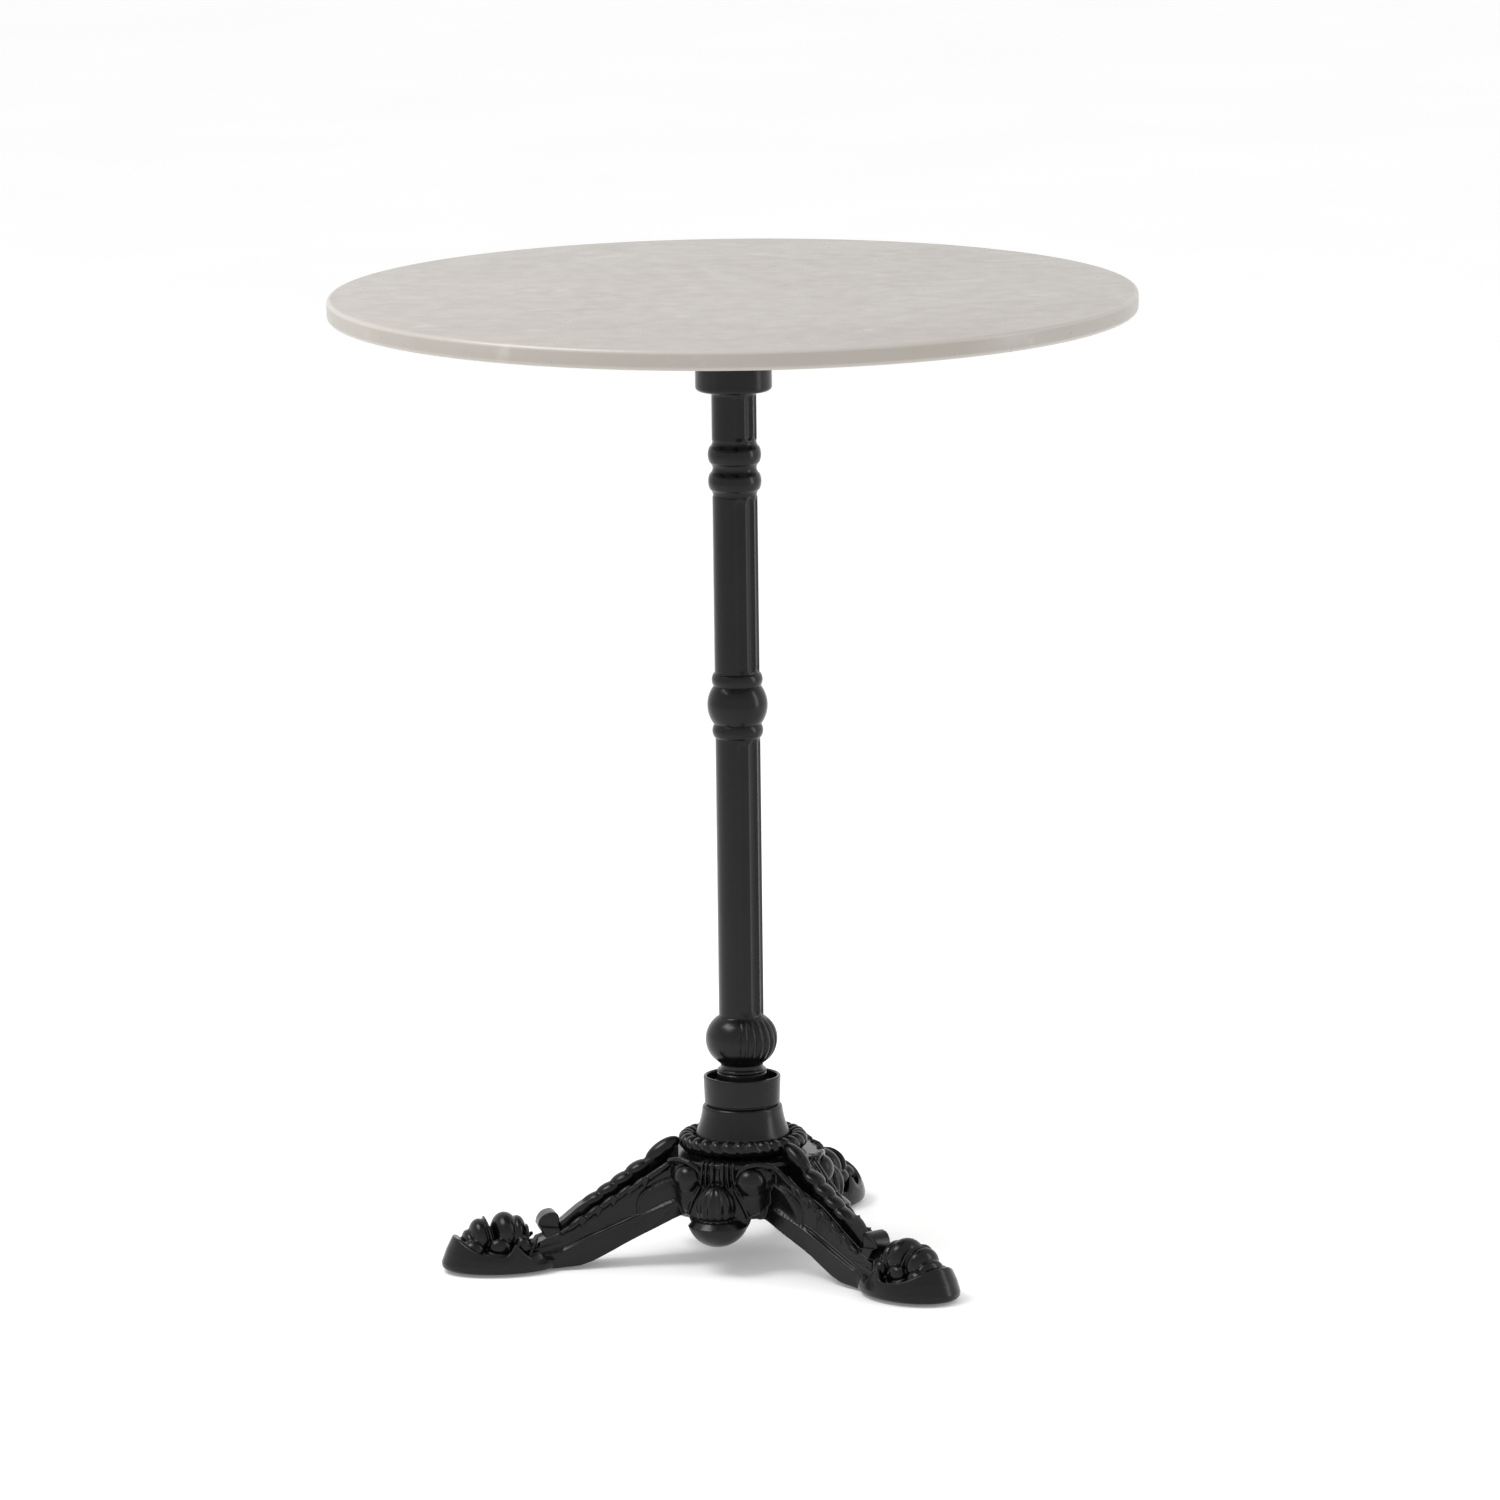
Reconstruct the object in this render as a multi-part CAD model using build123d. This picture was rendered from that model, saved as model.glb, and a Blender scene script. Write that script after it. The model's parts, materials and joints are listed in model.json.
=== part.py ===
from build123d import *
import os
from math import sqrt

# Round stone bistro table on a cast-iron column and a three-legged cast base.
# The frame is the table's own: the column stands on +Z, the floor is z = 0 and the origin is
# the point of the floor under the middle of the top. Leg 1 points along -X. All sizes are in mm.

# ---------------------------------------------------------------- whole table
TABLE_HEIGHT = 730.0
TOP_DIAMETER = 600.0
TOP_THICKNESS = 15.0
TOP_EDGE_ROUND = 3.0
LEG_COUNT = 3
LEG_1_ANGLE = 180.0
SLIDE_GAP = 0.05  # radial clearance of parts that turn or slide in each other
LOCATING_GAP = 0.1  # radial clearance of spigots in their sockets
BOLT_GAP = 0.5  # radial clearance of screws and the rod in plain holes

# ---------------------------------------------------------------- fixing of the stone
FIXING_RADIUS = 140.0  # from the column's axis to each screw
ARM_COUNT = 4
SCREW_RADIUS = 3.0
SCREW_LENGTH = 20.0
SCREW_HEAD_RADIUS = 6.0
SCREW_HEAD_HEIGHT = 4.0
SCREW_SOCKET_FLATS = 4.0
SCREW_SOCKET_DEPTH = 2.2
SCREW_WASHER_RADIUS = 8.0
SCREW_WASHER_THICKNESS = 1.2
INSERT_RADIUS = 5.0
INSERT_LENGTH = 10.0
INSERT_FLANGE_RADIUS = 7.0
INSERT_FLANGE_THICKNESS = 1.0
PAD_RADIUS = 13.0
PAD_THICKNESS = 3.0

# ---------------------------------------------------------------- top spider
SPIDER_HEIGHT = 55.0
DRUM_RADIUS = 28.5
DRUM_CORNER = 3.0
ARM_WIDTH = 26.0
ARM_THICKNESS = 8.0
ARM_END_MARGIN = 14.0  # casting left beyond the screw
ARM_RIB_WIDTH = 7.0
ARM_RIB_DEPTH = 14.0
NUT_POCKET_RADIUS = 19.0
NUT_POCKET_DEPTH = 16.0
TOP_SPIGOT_RADIUS = 13.5
TOP_SPIGOT_LENGTH = 12.0

# ---------------------------------------------------------------- tie rod, nuts and washers
ROD_RADIUS = 6.0
ROD_END_PROUD = 2.0
NUT_FLATS = 18.0
NUT_HEIGHT = 10.0
ROD_WASHER_RADIUS = 12.0
ROD_WASHER_THICKNESS = 2.5
BASE_WASHER_RADIUS = 17.0
BASE_WASHER_THICKNESS = 3.0
LOCK_WASHER_RADIUS = 10.5
LOCK_WASHER_THICKNESS = 2.5
LOCK_WASHER_SPLIT = 1.2

# ---------------------------------------------------------------- column
SHAFT_RADIUS = 16.7
UPPER_SHAFT_LENGTH = 38.0
MIDDLE_SHAFT_LENGTH = 134.5
CORE_RADIUS = 10.5
CORE_END_LAND = 22.0  # length at each end where the bore is reduced to guide the rod
RING_RADIUS = 19.8
RING_HEIGHT = 20.0
RING_VALLEY_RADIUS = 15.7
BEAD_RADIUS = 19.0
BEAD_HEIGHT = 9.4
BEAD_GROOVE_RADIUS = 17.8
BALL_RADIUS = 22.5
BALL_HEIGHT = 29.0
BULB_RADIUS = 26.8
BULB_HEIGHT = 36.0
BULB_CENTRE_RISE = 20.0  # from the bulb's lower end to its widest point
NECK_RADIUS = 16.8
NECK_HEIGHT = 5.0
FOOT_FLANGE_RADIUS = 18.6
FOOT_FLANGE_HEIGHT = 12.0
FOOT_SPIGOT_RADIUS = 14.0
FLUTE_COUNT = 6
FLUTE_PITCH = 30.0
FLUTE_FIRST_ANGLE = -104.5
FLUTE_TOOL_RADIUS = 7.0
FLUTE_DEPTH = 1.3
FLUTE_END_GAP = 2.0

# ---------------------------------------------------------------- socket collar
COLLAR_RADIUS = 28.9
COLLAR_FOOT_RADIUS = 28.3
COLLAR_HEIGHT = 22.0
COLLAR_RIM = 2.4
COLLAR_CUP_DEPTH = 8.0
COLLAR_CORNER = 0.8
COLLAR_SHADOW_GROOVE = 1.2

# ---------------------------------------------------------------- base hub
HUB_TOP = 117.3
CONE_TOP_RADIUS = 30.6
CONE_FOOT_RADIUS = 34.6
CONE_HEIGHT = 20.8
ROPE_RING_RADIUS = 42.0
ROPE_TUBE_RADIUS = 6.6
ROPE_CENTRE_DROP = 27.0  # below the top of the hub
HUB_PLATE_LIP = 1.5  # plate's edge in front of the skirt
HUB_PLATE_THICKNESS = 5.0
HUB_PLATE_DROP = 34.8  # top of the plate below the top of the hub
SKIRT_RADIUS = 57.0
SKIRT_WALL = 7.0
HUB_UNDERSIDE = 40.0
HUB_BOSS_RADIUS = 30.0
HUB_POCKET_RADIUS = 21.0
HUB_POCKET_DEPTH = 24.0
HUB_SOCKET_DEPTH = 8.0
BOWL_RADIUS = 24.0
BOWL_PROUD = 25.0  # in front of the skirt
BOWL_BOTTOM = 20.0
BOWL_RIM_DROP = 2.0  # the rim below the middle of the bowl's ball
SHELL_RADIUS = 17.0
SHELL_HEIGHT = 36.0
SHELL_CENTRE_RISE = 6.0  # above the middle of the bowl's ball
SHELL_PROUD = 18.0  # in front of the skirt
SHELL_ROUND = 7.0
EAR_RADIUS = 10.5
EAR_PROUD = 8.0
EAR_SPREAD = 24.0  # sideways from the middle of the pendant
EAR_CENTRE_DROP = 8.0  # below the hub's plate

# ---------------------------------------------------------------- legs and feet
LEG_WIDTH = 24.0
LEG_FLARE = 6.0  # extra half width where the leg leaves the skirt
LEG_FLARE_LENGTH = 38.0  # from the skirt to where the leg is straight
LEG_EDGE_WIDTH = 28.0
LEG_EDGE_DEPTH = 7.0
LEG_FLANGE_WIDTH = 30.0
LEG_FLANGE_DEPTH = 14.0
CREST_WIDTH = 13.0
CREST_SHOULDER_HEIGHT = 95.0
CREST_ANKLE_HEIGHT = 34.0
SHOULDER_INSET = 3.0  # inside the skirt's face
SHOULDER_HEIGHT = 83.0
SHOULDER_ROUND = 12.0
ANKLE_HEIGHT = 27.0
ANKLE_SETBACK = 42.0  # from the middle of the foot back to the ankle
ARCH_GAP = 7.0  # from the skirt to the start of the arch under the leg
ARCH_ROUND = 10.0
HEEL_SETBACK = 55.0  # from the middle of the foot back to where the arch ends
TOE_REACH = 230.0
PAD_LENGTH = 90.0
PAD_WIDTH = 63.0
PAD_HEIGHT = 18.0
PAD_TOP_ROUND = 5.0
KNOB_RADIUS = 8.5
KNOB_SETBACK = 35.0  # from the middle of the foot back to the knob
KNOB_TOP = 42.0
ROSE_RADIUS = 21.0
ROSE_TOP = 43.0
ROSE_LOBE_RADIUS = 9.0
FOOT_CLEARANCE = 2.0  # underside of the casting above the floor with the glides screwed in

# ---------------------------------------------------------------- levelling glides
GLIDE_PAD_RADIUS = 12.5
GLIDE_PAD_HEIGHT = 7.5
GLIDE_PAD_ROUND = 1.0
GLIDE_RECESS_GAP = 1.0
GLIDE_STEM_RADIUS = 3.95
GLIDE_TRAVEL = 8.0
GLIDE_THREAD_HOLD = 11.5  # thread still in the casting with the glide fully out
GLIDE_HEAD_RADIUS = 6.0
GLIDE_HEAD_HEIGHT = 2.6
GLIDE_HEAD_FLOOR = 2.4  # nylon under the stem's head
GLIDE_HEAD_GAP = 0.2

# ---------------------------------------------------------------- levels worked out from the above
STONE_UNDERSIDE = TABLE_HEIGHT - TOP_THICKNESS
SPIDER_TOP = STONE_UNDERSIDE - PAD_THICKNESS
COLUMN_TOP = SPIDER_TOP - SPIDER_HEIGHT
COLLAR_TOP = HUB_TOP + COLLAR_HEIGHT
COLUMN_FOOT = COLLAR_TOP - COLLAR_CUP_DEPTH
SPIDER_NUT_SEAT = SPIDER_TOP - NUT_POCKET_DEPTH
BASE_NUT_SEAT = HUB_UNDERSIDE + HUB_POCKET_DEPTH
PLATE_TOP = HUB_TOP - HUB_PLATE_DROP
FOOT_SPIGOT_END = HUB_TOP - HUB_SOCKET_DEPTH + LOCATING_GAP
ROD_HOLE_RADIUS = ROD_RADIUS + BOLT_GAP
ROD_TOP = SPIDER_NUT_SEAT + ROD_WASHER_THICKNESS + NUT_HEIGHT + ROD_END_PROUD
BASE_NUT_TOP = BASE_NUT_SEAT - BASE_WASHER_THICKNESS - LOCK_WASHER_THICKNESS
ROD_BOTTOM = BASE_NUT_TOP - NUT_HEIGHT - ROD_END_PROUD
ARM_UNDERSIDE = SPIDER_TOP - ARM_THICKNESS
GLIDE_REACH = TOE_REACH - PAD_LENGTH / 2
ANKLE_REACH = GLIDE_REACH - ANKLE_SETBACK
HEEL_REACH = GLIDE_REACH - HEEL_SETBACK
SHOULDER_REACH = SKIRT_RADIUS - SHOULDER_INSET
ARCH_REACH = SKIRT_RADIUS + ARCH_GAP
RECESS_TOP = GLIDE_PAD_HEIGHT + GLIDE_RECESS_GAP
GLIDE_STEM_TOP = RECESS_TOP + GLIDE_TRAVEL + GLIDE_THREAD_HOLD
LEG_ANGLES = [LEG_1_ANGLE + 360.0 / LEG_COUNT * i for i in range(LEG_COUNT)]
ARM_ANGLES = [360.0 / ARM_COUNT * i for i in range(ARM_COUNT)]


# ---------------------------------------------------------------- helpers
def export(shape, node):
    """Writes one named sub-part."""
    os.makedirs("parts", exist_ok=True)
    export_step(shape, f"parts/{node}.step")


def lathe(edges):
    """Turns a closed outline, drawn as (radius, height) edges, round the Z axis."""
    wire = Wire(edges)
    return revolve(make_face(wire), axis=Axis.Z)


def run(*points):
    """Straight edges through (radius, height) points."""
    places = [Vector(r, 0, z) for r, z in points]
    return [Edge.make_line(a, b) for a, b in zip(places, places[1:])]


def bow(start, middle, end):
    """One arc through three (radius, height) points."""
    places = [Vector(r, 0, z) for r, z in (start, middle, end)]
    return Edge.make_three_point_arc(*places)


def tube(outer, inner, low, high):
    """A plain ring or washer between two heights."""
    height = high - low
    ring = Cylinder(outer, height) - Cylinder(inner, height)
    return Pos(0, 0, (low + high) / 2) * ring


def rod(radius, low, high):
    """A plain round bar between two heights."""
    return Pos(0, 0, (low + high) / 2) * Cylinder(radius, high - low)


def hexagon(flats, low, high):
    """A hexagonal bar between two heights."""
    outline = RegularPolygon(flats / 2, 6, major_radius=False)
    return Pos(0, 0, low) * extrude(outline, high - low)


def around(shape, angles, reach=0.0):
    """Copies of a shape, moved out by reach along +X and turned to each angle."""
    return [Rot(0, 0, angle) * Pos(reach, 0, 0) * shape for angle in angles]


def group(shapes):
    """Separate solids kept together in one node."""
    return Compound(children=[solid for shape in shapes for solid in shape.solids()])


# ---------------------------------------------------------------- the stone top and its fixing
def tabletop():
    """Stone disc with rounded edges and four blind holes for the inserts."""
    disc = Pos(0, 0, STONE_UNDERSIDE + TOP_THICKNESS / 2) * Cylinder(TOP_DIAMETER / 2, TOP_THICKNESS)
    disc = fillet(disc.edges(), TOP_EDGE_ROUND)
    hole_depth = INSERT_LENGTH + BOLT_GAP
    hole = rod(INSERT_RADIUS + LOCATING_GAP, STONE_UNDERSIDE, STONE_UNDERSIDE + hole_depth)
    seat_radius = INSERT_FLANGE_RADIUS + LOCATING_GAP
    seat = rod(seat_radius, STONE_UNDERSIDE, STONE_UNDERSIDE + INSERT_FLANGE_THICKNESS)
    for cut in around(hole + seat, ARM_ANGLES, FIXING_RADIUS):
        disc -= cut
    return disc


def top_inserts():
    """Flanged brass sleeves bonded into the stone."""
    flange_top = STONE_UNDERSIDE + INSERT_FLANGE_THICKNESS
    body = rod(INSERT_RADIUS, STONE_UNDERSIDE, STONE_UNDERSIDE + INSERT_LENGTH)
    body += rod(INSERT_FLANGE_RADIUS, STONE_UNDERSIDE, flange_top)
    body -= rod(SCREW_RADIUS + SLIDE_GAP, STONE_UNDERSIDE, STONE_UNDERSIDE + INSERT_LENGTH)
    return group(around(body, ARM_ANGLES, FIXING_RADIUS))


def spider_pads():
    """Rubber discs between the spider's arms and the stone."""
    pad = tube(PAD_RADIUS, SCREW_RADIUS + BOLT_GAP, SPIDER_TOP, STONE_UNDERSIDE)
    return group(around(pad, ARM_ANGLES, FIXING_RADIUS))


def spider_washers():
    """Plain washers under the screw heads."""
    low = ARM_UNDERSIDE - SCREW_WASHER_THICKNESS
    washer = tube(SCREW_WASHER_RADIUS, SCREW_RADIUS + BOLT_GAP / 2, low, ARM_UNDERSIDE)
    return group(around(washer, ARM_ANGLES, FIXING_RADIUS))


def spider_screws():
    """Round-headed socket screws that hold the stone down."""
    head_top = ARM_UNDERSIDE - SCREW_WASHER_THICKNESS
    head_low = head_top - SCREW_HEAD_HEIGHT
    head = rod(SCREW_HEAD_RADIUS, head_low, head_top)
    head = fillet(head.edges().group_by(Axis.Z)[0], SCREW_HEAD_HEIGHT / 2)
    screw = head + rod(SCREW_RADIUS, head_top, head_top + SCREW_LENGTH)
    screw -= hexagon(SCREW_SOCKET_FLATS, head_low, head_low + SCREW_SOCKET_DEPTH)
    return group(around(screw, ARM_ANGLES, FIXING_RADIUS))


# ---------------------------------------------------------------- spider
def spider_arm():
    """One flat arm with a deepening rib under it, along +X."""
    reach = FIXING_RADIUS + ARM_END_MARGIN - ARM_WIDTH / 2
    flat = Pos(reach / 2, 0, SPIDER_TOP - ARM_THICKNESS / 2) * Box(reach, ARM_WIDTH, ARM_THICKNESS)
    flat += Pos(reach, 0, 0) * rod(ARM_WIDTH / 2, ARM_UNDERSIDE, SPIDER_TOP)
    rib_end = FIXING_RADIUS - SCREW_WASHER_RADIUS - ARM_RIB_WIDTH
    low = ARM_UNDERSIDE - ARM_RIB_DEPTH
    outline = run((0, low), (DRUM_RADIUS, low), (rib_end, ARM_UNDERSIDE), (0, ARM_UNDERSIDE), (0, low))
    rib = extrude(make_face(Wire(outline)), ARM_RIB_WIDTH / 2, dir=(0, 1, 0), both=True)
    return flat + rib


def top_spider():
    """Four-armed casting: the drum under the stone stands on the column."""
    drum = rod(DRUM_RADIUS, COLUMN_TOP, SPIDER_TOP)
    drum = fillet(drum.edges().group_by(Axis.Z)[0], DRUM_CORNER)
    spider = drum
    for arm in around(spider_arm(), ARM_ANGLES):
        spider += arm
    spider -= rod(NUT_POCKET_RADIUS, SPIDER_NUT_SEAT, SPIDER_TOP)
    spider -= rod(ROD_HOLE_RADIUS, COLUMN_TOP, SPIDER_NUT_SEAT)
    socket_top = COLUMN_TOP + TOP_SPIGOT_LENGTH + LOCATING_GAP
    spider -= rod(TOP_SPIGOT_RADIUS + LOCATING_GAP, COLUMN_TOP, socket_top)
    hole = rod(SCREW_RADIUS + BOLT_GAP, ARM_UNDERSIDE, SPIDER_TOP)
    for cut in around(hole, ARM_ANGLES, FIXING_RADIUS):
        spider -= cut
    return spider


# ---------------------------------------------------------------- tie rod
def nut(low):
    """Hexagon nut with chamfered corners."""
    high = low + NUT_HEIGHT
    corner = NUT_FLATS / sqrt(3)
    blank = chamfer(rod(corner, low, high).edges(), 1.0, 1.8)
    return (blank & hexagon(NUT_FLATS, low, high)) - rod(ROD_RADIUS + SLIDE_GAP, low, high)


def tie_rod():
    """Threaded rod that clamps base, collar, column and spider together."""
    return chamfer(rod(ROD_RADIUS, ROD_BOTTOM, ROD_TOP).edges(), 1.0)


def lock_washer():
    """Split spring washer under the base nut."""
    low = BASE_NUT_TOP
    ring = tube(LOCK_WASHER_RADIUS, ROD_RADIUS + BOLT_GAP, low, low + LOCK_WASHER_THICKNESS)
    cut_size = LOCK_WASHER_RADIUS
    cut = Pos(cut_size / 2 + ROD_RADIUS / 2, 0, low + LOCK_WASHER_THICKNESS / 2)
    return ring - cut * Box(cut_size, LOCK_WASHER_SPLIT, 2 * LOCK_WASHER_THICKNESS)


# ---------------------------------------------------------------- column
def column_levels():
    """Heights where the shafts and mouldings meet: the lower shaft takes up what is left."""
    rings_top = COLUMN_TOP - UPPER_SHAFT_LENGTH
    rings_low = rings_top - 2 * RING_HEIGHT
    beads_top = rings_low - MIDDLE_SHAFT_LENGTH
    ball_top = beads_top - BEAD_HEIGHT
    ball_low = ball_top - BALL_HEIGHT
    beads_low = ball_low - BEAD_HEIGHT
    neck_low = COLUMN_FOOT + FOOT_FLANGE_HEIGHT
    bulb_low = neck_low + NECK_HEIGHT
    bulb_top = bulb_low + BULB_HEIGHT
    return rings_top, rings_low, beads_top, ball_top, ball_low, beads_low, bulb_top, bulb_low, neck_low


def column_outline():
    """Outer side of the column from its top spigot down to its foot spigot."""
    levels = column_levels()
    rings_top, rings_low, beads_top, ball_top, ball_low, beads_low, bulb_top, bulb_low, neck_low = levels
    ring_waist = rings_top - RING_HEIGHT
    bulb_widest = bulb_low + BULB_CENTRE_RISE
    spigot_top = COLUMN_TOP + TOP_SPIGOT_LENGTH
    guide = ROD_RADIUS + BOLT_GAP
    edges = run((guide, spigot_top), (TOP_SPIGOT_RADIUS, spigot_top), (TOP_SPIGOT_RADIUS, COLUMN_TOP),
                (SHAFT_RADIUS, COLUMN_TOP), (SHAFT_RADIUS, rings_top))
    ring_start = (SHAFT_RADIUS, rings_top)
    for low, low_radius in ((ring_waist, RING_VALLEY_RADIUS), (rings_low, SHAFT_RADIUS)):
        edges.append(bow(ring_start, (RING_RADIUS, low + RING_HEIGHT / 2), (low_radius, low)))
        ring_start = (low_radius, low)
    edges += run((SHAFT_RADIUS, rings_low), (SHAFT_RADIUS, beads_top))
    bead_middle = beads_top - BEAD_HEIGHT / 2
    edges.append(bow((SHAFT_RADIUS, beads_top), (BEAD_RADIUS, bead_middle), (BEAD_GROOVE_RADIUS, ball_top)))
    ball_middle = (BALL_RADIUS, (ball_top + ball_low) / 2)
    edges.append(bow((BEAD_GROOVE_RADIUS, ball_top), ball_middle, (BEAD_GROOVE_RADIUS, ball_low)))
    bead_middle = ball_low - BEAD_HEIGHT / 2
    edges.append(bow((BEAD_GROOVE_RADIUS, ball_low), (BEAD_RADIUS, bead_middle), (SHAFT_RADIUS, beads_low)))
    edges += run((SHAFT_RADIUS, beads_low), (SHAFT_RADIUS, bulb_top))
    edges.append(bow((SHAFT_RADIUS, bulb_top), (BULB_RADIUS, bulb_widest), (NECK_RADIUS, bulb_low)))
    edges += run((NECK_RADIUS, bulb_low), (NECK_RADIUS, neck_low), (FOOT_FLANGE_RADIUS, neck_low),
                 (FOOT_FLANGE_RADIUS, COLUMN_FOOT), (FOOT_SPIGOT_RADIUS, COLUMN_FOOT),
                 (FOOT_SPIGOT_RADIUS, FOOT_SPIGOT_END), (guide, FOOT_SPIGOT_END))
    core_low = FOOT_SPIGOT_END + CORE_END_LAND
    core_top = spigot_top - CORE_END_LAND
    edges += run((guide, FOOT_SPIGOT_END), (guide, core_low), (CORE_RADIUS, core_low),
                 (CORE_RADIUS, core_top), (guide, core_top), (guide, spigot_top))
    return edges


def column():
    """One hollow casting: three shafts, fluted on one side, between turned mouldings."""
    casting = lathe(column_outline())
    rings_top, rings_low, beads_top, _, _, beads_low, bulb_top, _, _ = column_levels()
    tool_reach = SHAFT_RADIUS + FLUTE_TOOL_RADIUS - FLUTE_DEPTH
    angles = [FLUTE_FIRST_ANGLE + FLUTE_PITCH * (i + 0.5) for i in range(FLUTE_COUNT)]
    for high, low in ((COLUMN_TOP, rings_top), (rings_low, beads_top), (beads_low, bulb_top)):
        tool = rod(FLUTE_TOOL_RADIUS, low + FLUTE_END_GAP, high - FLUTE_END_GAP)
        for cut in around(tool, angles, tool_reach):
            casting -= cut
    return casting


def socket_collar():
    """Cup between base and column: its rim stands round the column's foot."""
    cup_floor = COLLAR_TOP - COLLAR_CUP_DEPTH
    cup_radius = COLLAR_RADIUS - COLLAR_RIM
    bore = FOOT_SPIGOT_RADIUS + LOCATING_GAP
    groove_radius = COLLAR_FOOT_RADIUS - COLLAR_SHADOW_GROOVE
    groove_top = HUB_TOP + COLLAR_SHADOW_GROOVE
    outline = run((bore, HUB_TOP), (groove_radius, HUB_TOP), (groove_radius, groove_top),
                  (COLLAR_FOOT_RADIUS, groove_top), (COLLAR_RADIUS, COLLAR_TOP - COLLAR_CORNER),
                  (COLLAR_RADIUS - COLLAR_CORNER, COLLAR_TOP), (cup_radius, COLLAR_TOP),
                  (cup_radius, cup_floor), (bore, cup_floor), (bore, HUB_TOP))
    return lathe(outline)


# ---------------------------------------------------------------- base casting
def hub():
    """Turned middle of the base: cone, rope ring, plate, skirt and the boss inside it."""
    cone_foot = HUB_TOP - CONE_HEIGHT
    plate_low = PLATE_TOP - HUB_PLATE_THICKNESS
    skirt_inside = SKIRT_RADIUS - SKIRT_WALL
    plate_radius = SKIRT_RADIUS + HUB_PLATE_LIP
    outline = run((0, HUB_UNDERSIDE), (HUB_BOSS_RADIUS, HUB_UNDERSIDE), (HUB_BOSS_RADIUS, plate_low),
                  (skirt_inside, plate_low), (skirt_inside, HUB_UNDERSIDE), (SKIRT_RADIUS, HUB_UNDERSIDE),
                  (SKIRT_RADIUS, plate_low), (plate_radius, plate_low), (plate_radius, PLATE_TOP),
                  (ROPE_RING_RADIUS, PLATE_TOP), (ROPE_RING_RADIUS, cone_foot),
                  (CONE_FOOT_RADIUS, cone_foot), (CONE_TOP_RADIUS, HUB_TOP), (0, HUB_TOP),
                  (0, HUB_UNDERSIDE))
    rope = Pos(0, 0, HUB_TOP - ROPE_CENTRE_DROP) * Torus(ROPE_RING_RADIUS, ROPE_TUBE_RADIUS)
    return lathe(outline) + rope


def leg_side(shoulder_height, ankle_height):
    """Side view of one leg along +X, from the boss out to the middle of the foot."""
    slope = (shoulder_height - ankle_height) / (ANKLE_REACH - SHOULDER_REACH)
    shoulder_end = SHOULDER_REACH + SHOULDER_ROUND
    shoulder_end_height = shoulder_height - slope * SHOULDER_ROUND
    plate_middle = PLATE_TOP - HUB_PLATE_THICKNESS / 2
    shoulder_start = (SHOULDER_REACH - SHOULDER_ROUND, plate_middle)
    shoulder_peak = (SHOULDER_REACH - SHOULDER_ROUND / 4, shoulder_height)
    arch_slope = (HUB_UNDERSIDE - FOOT_CLEARANCE) / (HEEL_REACH - ARCH_REACH)
    arch_end = (ARCH_REACH + ARCH_ROUND, HUB_UNDERSIDE - arch_slope * ARCH_ROUND)
    arch_middle = (ARCH_REACH + ARCH_ROUND / 4, HUB_UNDERSIDE - arch_slope * ARCH_ROUND / 3)
    edges = run((HUB_BOSS_RADIUS / 2, HUB_UNDERSIDE), (HUB_BOSS_RADIUS / 2, plate_middle), shoulder_start)
    edges.append(bow(shoulder_start, shoulder_peak, (shoulder_end, shoulder_end_height)))
    edges += run((shoulder_end, shoulder_end_height), (ANKLE_REACH, ankle_height),
                 (GLIDE_REACH, PAD_HEIGHT), (GLIDE_REACH, FOOT_CLEARANCE),
                 (HEEL_REACH, FOOT_CLEARANCE), arch_end)
    edges.append(bow(arch_end, arch_middle, (ARCH_REACH - ARCH_ROUND, HUB_UNDERSIDE)))
    edges += run((ARCH_REACH - ARCH_ROUND, HUB_UNDERSIDE), (HUB_BOSS_RADIUS / 2, HUB_UNDERSIDE))
    return make_face(Wire(edges))


def slab(face, width):
    """A side view thickened equally to both sides of the leg's middle plane."""
    return extrude(face, width / 2, dir=(0, 1, 0), both=True)


def plan(width):
    """Upright block with the leg's outline seen from above: it widens towards the hub."""
    half = width / 2
    root = half + LEG_FLARE
    flare_end = SKIRT_RADIUS + LEG_FLARE_LENGTH
    corners = [(0, root), (SKIRT_RADIUS, root), (flare_end, half), (TOE_REACH, half)]
    corners += [(x, -y) for x, y in reversed(corners)]
    return extrude(make_face(Polyline(*corners, close=True)), HUB_TOP)


def leg():
    """One curved leg with its overhanging upper edge, lower flange and raised crest, along +X."""
    wide = LEG_FLANGE_WIDTH + 4 * LEG_FLARE
    side = slab(leg_side(SHOULDER_HEIGHT, ANKLE_HEIGHT), wide)
    edge = side - Pos(0, 0, -LEG_EDGE_DEPTH) * side
    flange = side - Pos(0, 0, LEG_FLANGE_DEPTH) * side
    far = 2 * TOE_REACH
    outboard = Pos(SKIRT_RADIUS + far / 2, 0, 0) * Box(far, far, far)
    web = side & plan(LEG_WIDTH)
    edge = edge & plan(LEG_EDGE_WIDTH) & outboard
    flange = flange & plan(LEG_FLANGE_WIDTH) & outboard
    crest = slab(leg_side(CREST_SHOULDER_HEIGHT, CREST_ANKLE_HEIGHT), CREST_WIDTH)
    return web + [edge, flange, crest]


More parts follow.
